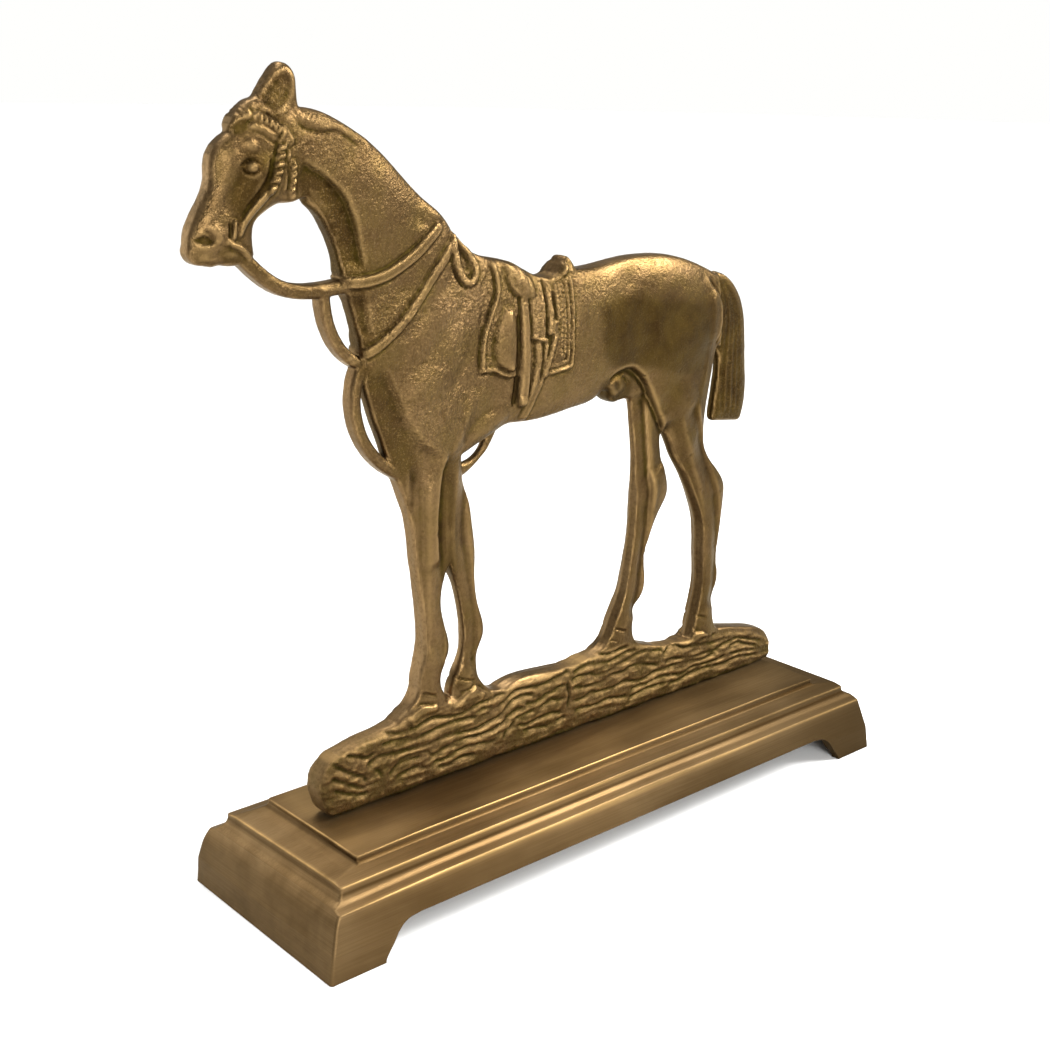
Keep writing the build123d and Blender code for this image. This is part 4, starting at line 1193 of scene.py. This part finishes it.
def brushed_bronze():
    g = Graph("brushed_bronze_plinth")
    shape = g.node("ShaderNodeNewGeometry")
    facing = g.node("ShaderNodeSeparateXYZ", Vector=shape.outputs["True Normal"]).outputs[0]
    on_end = g.math("GREATER_THAN", g.math("ABSOLUTE", facing), 0.6)
    long_lines = g.noise(g.mapped((6.0, 900.0, 900.0)), 3.0, 5.0, 0.6)
    cross_lines = g.noise(g.mapped((900.0, 6.0, 900.0)), 3.0, 5.0, 0.6)
    lines = g.math("ADD", g.times(long_lines, g.math("SUBTRACT", 1.0, on_end)),
                   g.times(cross_lines, on_end))
    clouds = g.noise(g.place, 14.0, 4.0, 0.55)
    smears = g.noise(g.mapped((12.0, 60.0, 60.0)), 1.0, 4.0, 0.6)
    base = g.ramp(clouds, (0.32, colour(105, 83, 55)), (0.52, colour(118, 95, 65)),
                  (0.72, colour(131, 108, 77)))
    base = g.mix(g.ramp(smears, (0.45, 0.0), (0.7, 0.5)), base, colour(62, 46, 24))
    base = g.mix(g.ramp(lines, (0.35, 0.0), (0.7, 0.3)), base, colour(72, 55, 32))
    to_right = g.node("ShaderNodeSeparateXYZ", Vector=g.place).outputs[0]
    # Painted shade: darker towards the right end.
    base = g.mix(g.times(g.ramp(to_right, (-0.02, 0.0), (0.15, 1.0)), 0.8), base, colour(54, 43, 28))
    height = g.node("ShaderNodeSeparateXYZ", Vector=g.place).outputs[2]
    # Painted shade: darker on the skirt below the ridge.
    base = g.mix(g.ramp(height, (0.019, 0.5), (0.024, 0.0)), base, colour(50, 38, 22))
    edge = g.attribute("edge")
    dark = g.attribute("shade")
    # Painted shade in the corners.
    base = g.mix(g.times(dark, 0.8), base, colour(48, 34, 16))
    # Painted highlight on the worn edges, fading towards the right end.
    edge = g.times(edge, g.ramp(to_right, (-0.1, 1.0), (0.1, 0.25)))
    base = g.mix(g.times(edge, g.ramp(smears, (0.3, 0.8), (0.65, 0.3))), base, colour(204, 166, 106))
    rough = g.scaled(lines, 0.2, g.scaled(clouds, 0.15, 0.33))
    rough = g.math("ADD", rough, g.ramp(to_right, (-0.06, 0.0), (0.1, 0.12)))
    normal = g.bump(lines, 0.12, 0.0002)
    return g.finish(base, rough, normal)


def zinc_steel():
    g = Graph("zinc_plated_steel")
    turned = g.noise(g.mapped((900.0, 900.0, 60.0)), 1.0, 3.0)
    base = g.ramp(turned, (0.3, colour(150, 150, 148)), (0.7, colour(196, 196, 190)))
    return g.finish(base, g.scaled(turned, 0.2, 0.25), g.bump(turned, 0.15, 0.0001),
                    edge_tint=(1, 1, 1, 1))


def edge_lines(co):
    """Polished wear with a painted highlight on the convex edges, and painted shade in the corners, from the
    plinth's own profile.
    """
    def near(profile_w, profile_l, z_w, z_l, spread):
        w = np.hypot(np.abs(co[:, 1]) - profile_w, co[:, 2] - z_w)
        l = np.hypot(np.abs(co[:, 0]) - profile_l, co[:, 2] - z_l)
        on_side = np.abs(co[:, 0]) < profile_l + 0.5
        on_end = np.abs(co[:, 1]) < profile_w + 0.5
        d = np.minimum(np.where(on_side, w, 99), np.where(on_end, l, 99))
        return np.exp(-(d / spread) ** 2)
    edge_wear_and_highlight = np.maximum.reduce([
        near(42.6, 147.9, 23.5, 25.0, 0.5),
        near(37.2, 142.4, 29.8, 30.6, 0.5),
        near(29.3, 129.3, 34.9, 34.9, 0.5),
    ])
    shade = np.maximum.reduce([
        near(37.6, 142.9, 27.2, 28.2, 0.9),
        near(29.7, 129.9, 32.4, 32.7, 0.9),
    ])
    return edge_wear_and_highlight, shade


edge_wear_and_highlight, shade = edge_lines(vertices_mm(plinth.data))
put_attribute(plinth, "edge", edge_wear_and_highlight)
put_attribute(plinth, "shade", shade)
shade_smooth(plinth)
plinth.data.set_sharp_from_angle(angle=math.radians(32))


def dress(thing, material):
    thing.data.materials.clear()
    thing.data.materials.append(material)


bronze = cast_bronze()
brushed = brushed_bronze()
steel = zinc_steel()
dress(horse, bronze)
dress(plinth, brushed)
for name in ("front_mounting_screw", "rear_mounting_screw", "front_washer", "rear_washer"):
    dress(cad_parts[name], steel)

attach(horse, "root")
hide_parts("horse_casting")
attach(plinth, "root")
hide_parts("plinth_casting")


# ------------------------------------------------------------------ floor, lights, camera
def stage_floor():
    mesh = bpy.data.meshes.new("floor")
    bm = bmesh.new()
    ring = [bm.verts.new((6 * math.cos(a), 6 * math.sin(a), -0.0002)) for a in np.linspace(0, 2 * math.pi,
            65)[:-1]]
    bm.faces.new(ring)
    bm.to_mesh(mesh)
    bm.free()
    thing = bpy.data.objects.new("floor", mesh)
    bpy.context.scene.collection.objects.link(thing)
    g = Graph("pale_floor")
    g.give(g.shader.inputs["Base Color"], (0.86, 0.86, 0.85, 1))
    g.give(g.shader.inputs["Roughness"], 0.75)
    dress(thing, g.material)


def soft_light(name, place, target, size, power, spread=180):
    lamp = bpy.data.lights.new(name, "AREA")
    lamp.shape = "RECTANGLE"
    lamp.size, lamp.size_y = size
    lamp.energy = power
    lamp.spread = math.radians(spread)
    thing = bpy.data.objects.new(name, lamp)
    thing.location = place
    thing.rotation_euler = (Vector(target) - Vector(place)).to_track_quat("-Z", "Y").to_euler()
    bpy.context.scene.collection.objects.link(thing)


def sun(name, toward, angle, power):
    lamp = bpy.data.lights.new(name, "SUN")
    lamp.angle = math.radians(angle)
    lamp.energy = power
    thing = bpy.data.objects.new(name, lamp)
    thing.rotation_euler = Vector(toward).to_track_quat("Z", "Y").to_euler()
    bpy.context.scene.collection.objects.link(thing)


def studio_world():
    """A pale backdrop around the horizon, a darker room above it, paler towards the front."""
    world = bpy.data.worlds.new("studio")
    world.use_nodes = True
    tree = world.node_tree
    place = tree.nodes.new("ShaderNodeTexCoord")
    split = tree.nodes.new("ShaderNodeSeparateXYZ")
    tree.links.new(place.outputs["Generated"], split.inputs[0])
    shades = []
    for stops in (((0.0, 1.0), (0.06, 1.0), (0.14, 0.5), (0.4, 0.42), (0.7, 0.7), (1.0, 0.8)),
                  ((0.0, 1.0), (0.06, 1.0), (0.14, 0.32), (0.4, 0.26), (0.7, 0.6), (1.0, 0.8))):
        ramp = tree.nodes.new("ShaderNodeValToRGB")
        tree.links.new(split.outputs[2], ramp.inputs[0])
        while len(ramp.color_ramp.elements) < len(stops):
            ramp.color_ramp.elements.new(0.5)
        for element, (position, level) in zip(ramp.color_ramp.elements, stops):
            element.position = position
            element.color = (level, level, level * 0.985, 1)
        shades.append(ramp.outputs[0])
    turn = tree.nodes.new("ShaderNodeMapRange")
    turn.inputs["From Min"].default_value = -0.5
    turn.inputs["From Max"].default_value = 0.5
    tree.links.new(split.outputs[1], turn.inputs["Value"])
    both = tree.nodes.new("ShaderNodeMix")
    both.data_type = "RGBA"
    tree.links.new(turn.outputs[0], both.inputs[0])
    tree.links.new(shades[0], both.inputs[6])
    tree.links.new(shades[1], both.inputs[7])
    tree.links.new(both.outputs[2], tree.nodes["Background"].inputs[0])
    bpy.context.scene.world = world


def photo_camera():
    """The camera fitted to the photo."""
    yaw, pitch, roll = (math.radians(a) for a in (-42.530, 17.160, 1.144))
    back = Vector((math.sin(yaw) * math.cos(pitch), -math.cos(yaw) * math.cos(pitch), math.sin(pitch)))
    ahead = -back
    right = ahead.cross(Vector((0, 0, 1))).normalized()
    up = right.cross(ahead)
    tilted_right = math.cos(roll) * right + math.sin(roll) * up
    tilted_up = -math.sin(roll) * right + math.cos(roll) * up
    data = bpy.data.cameras.new("camera")
    data.sensor_width = 36.0
    data.lens = 55.4393
    data.shift_x = -0.0067048
    data.shift_y = -0.0008095
    data.clip_start = 0.01
    data.clip_end = 50
    camera = bpy.data.objects.new("camera", data)
    turn = Matrix((tilted_right, tilted_up, back)).transposed().to_4x4()
    spot = Vector(((-434.603 + MIDDLE_X) / 1000, -0.451091, 0.319910))
    camera.matrix_world = Matrix.Translation(spot) @ turn
    bpy.context.scene.collection.objects.link(camera)
    bpy.context.scene.camera = camera


stage_floor()
studio_world()
sun("overhead_softbox", (0.15, 0.4, 1.0), 30, 2.2)
soft_light("upper_right_softbox", (0.66, -0.52, 0.74), (0.0, 0.0, 0.15), (0.4, 0.4), 20)
soft_light("croup_softbox", (0.66, -0.48, 0.78), (0.07, 0.0, 0.26), (0.2, 0.2), 0.15, 22)
soft_light("front_left_softbox", (-0.4, -0.95, 0.5), (0.0, 0.0, 0.14), (0.5, 0.5), 12)
soft_light("back_left_softbox", (-0.55, 0.85, 0.3), (-0.1, 0.0, 0.16), (0.8, 0.8), 5)
photo_camera()
bpy.context.scene.view_settings.view_transform = "Standard"
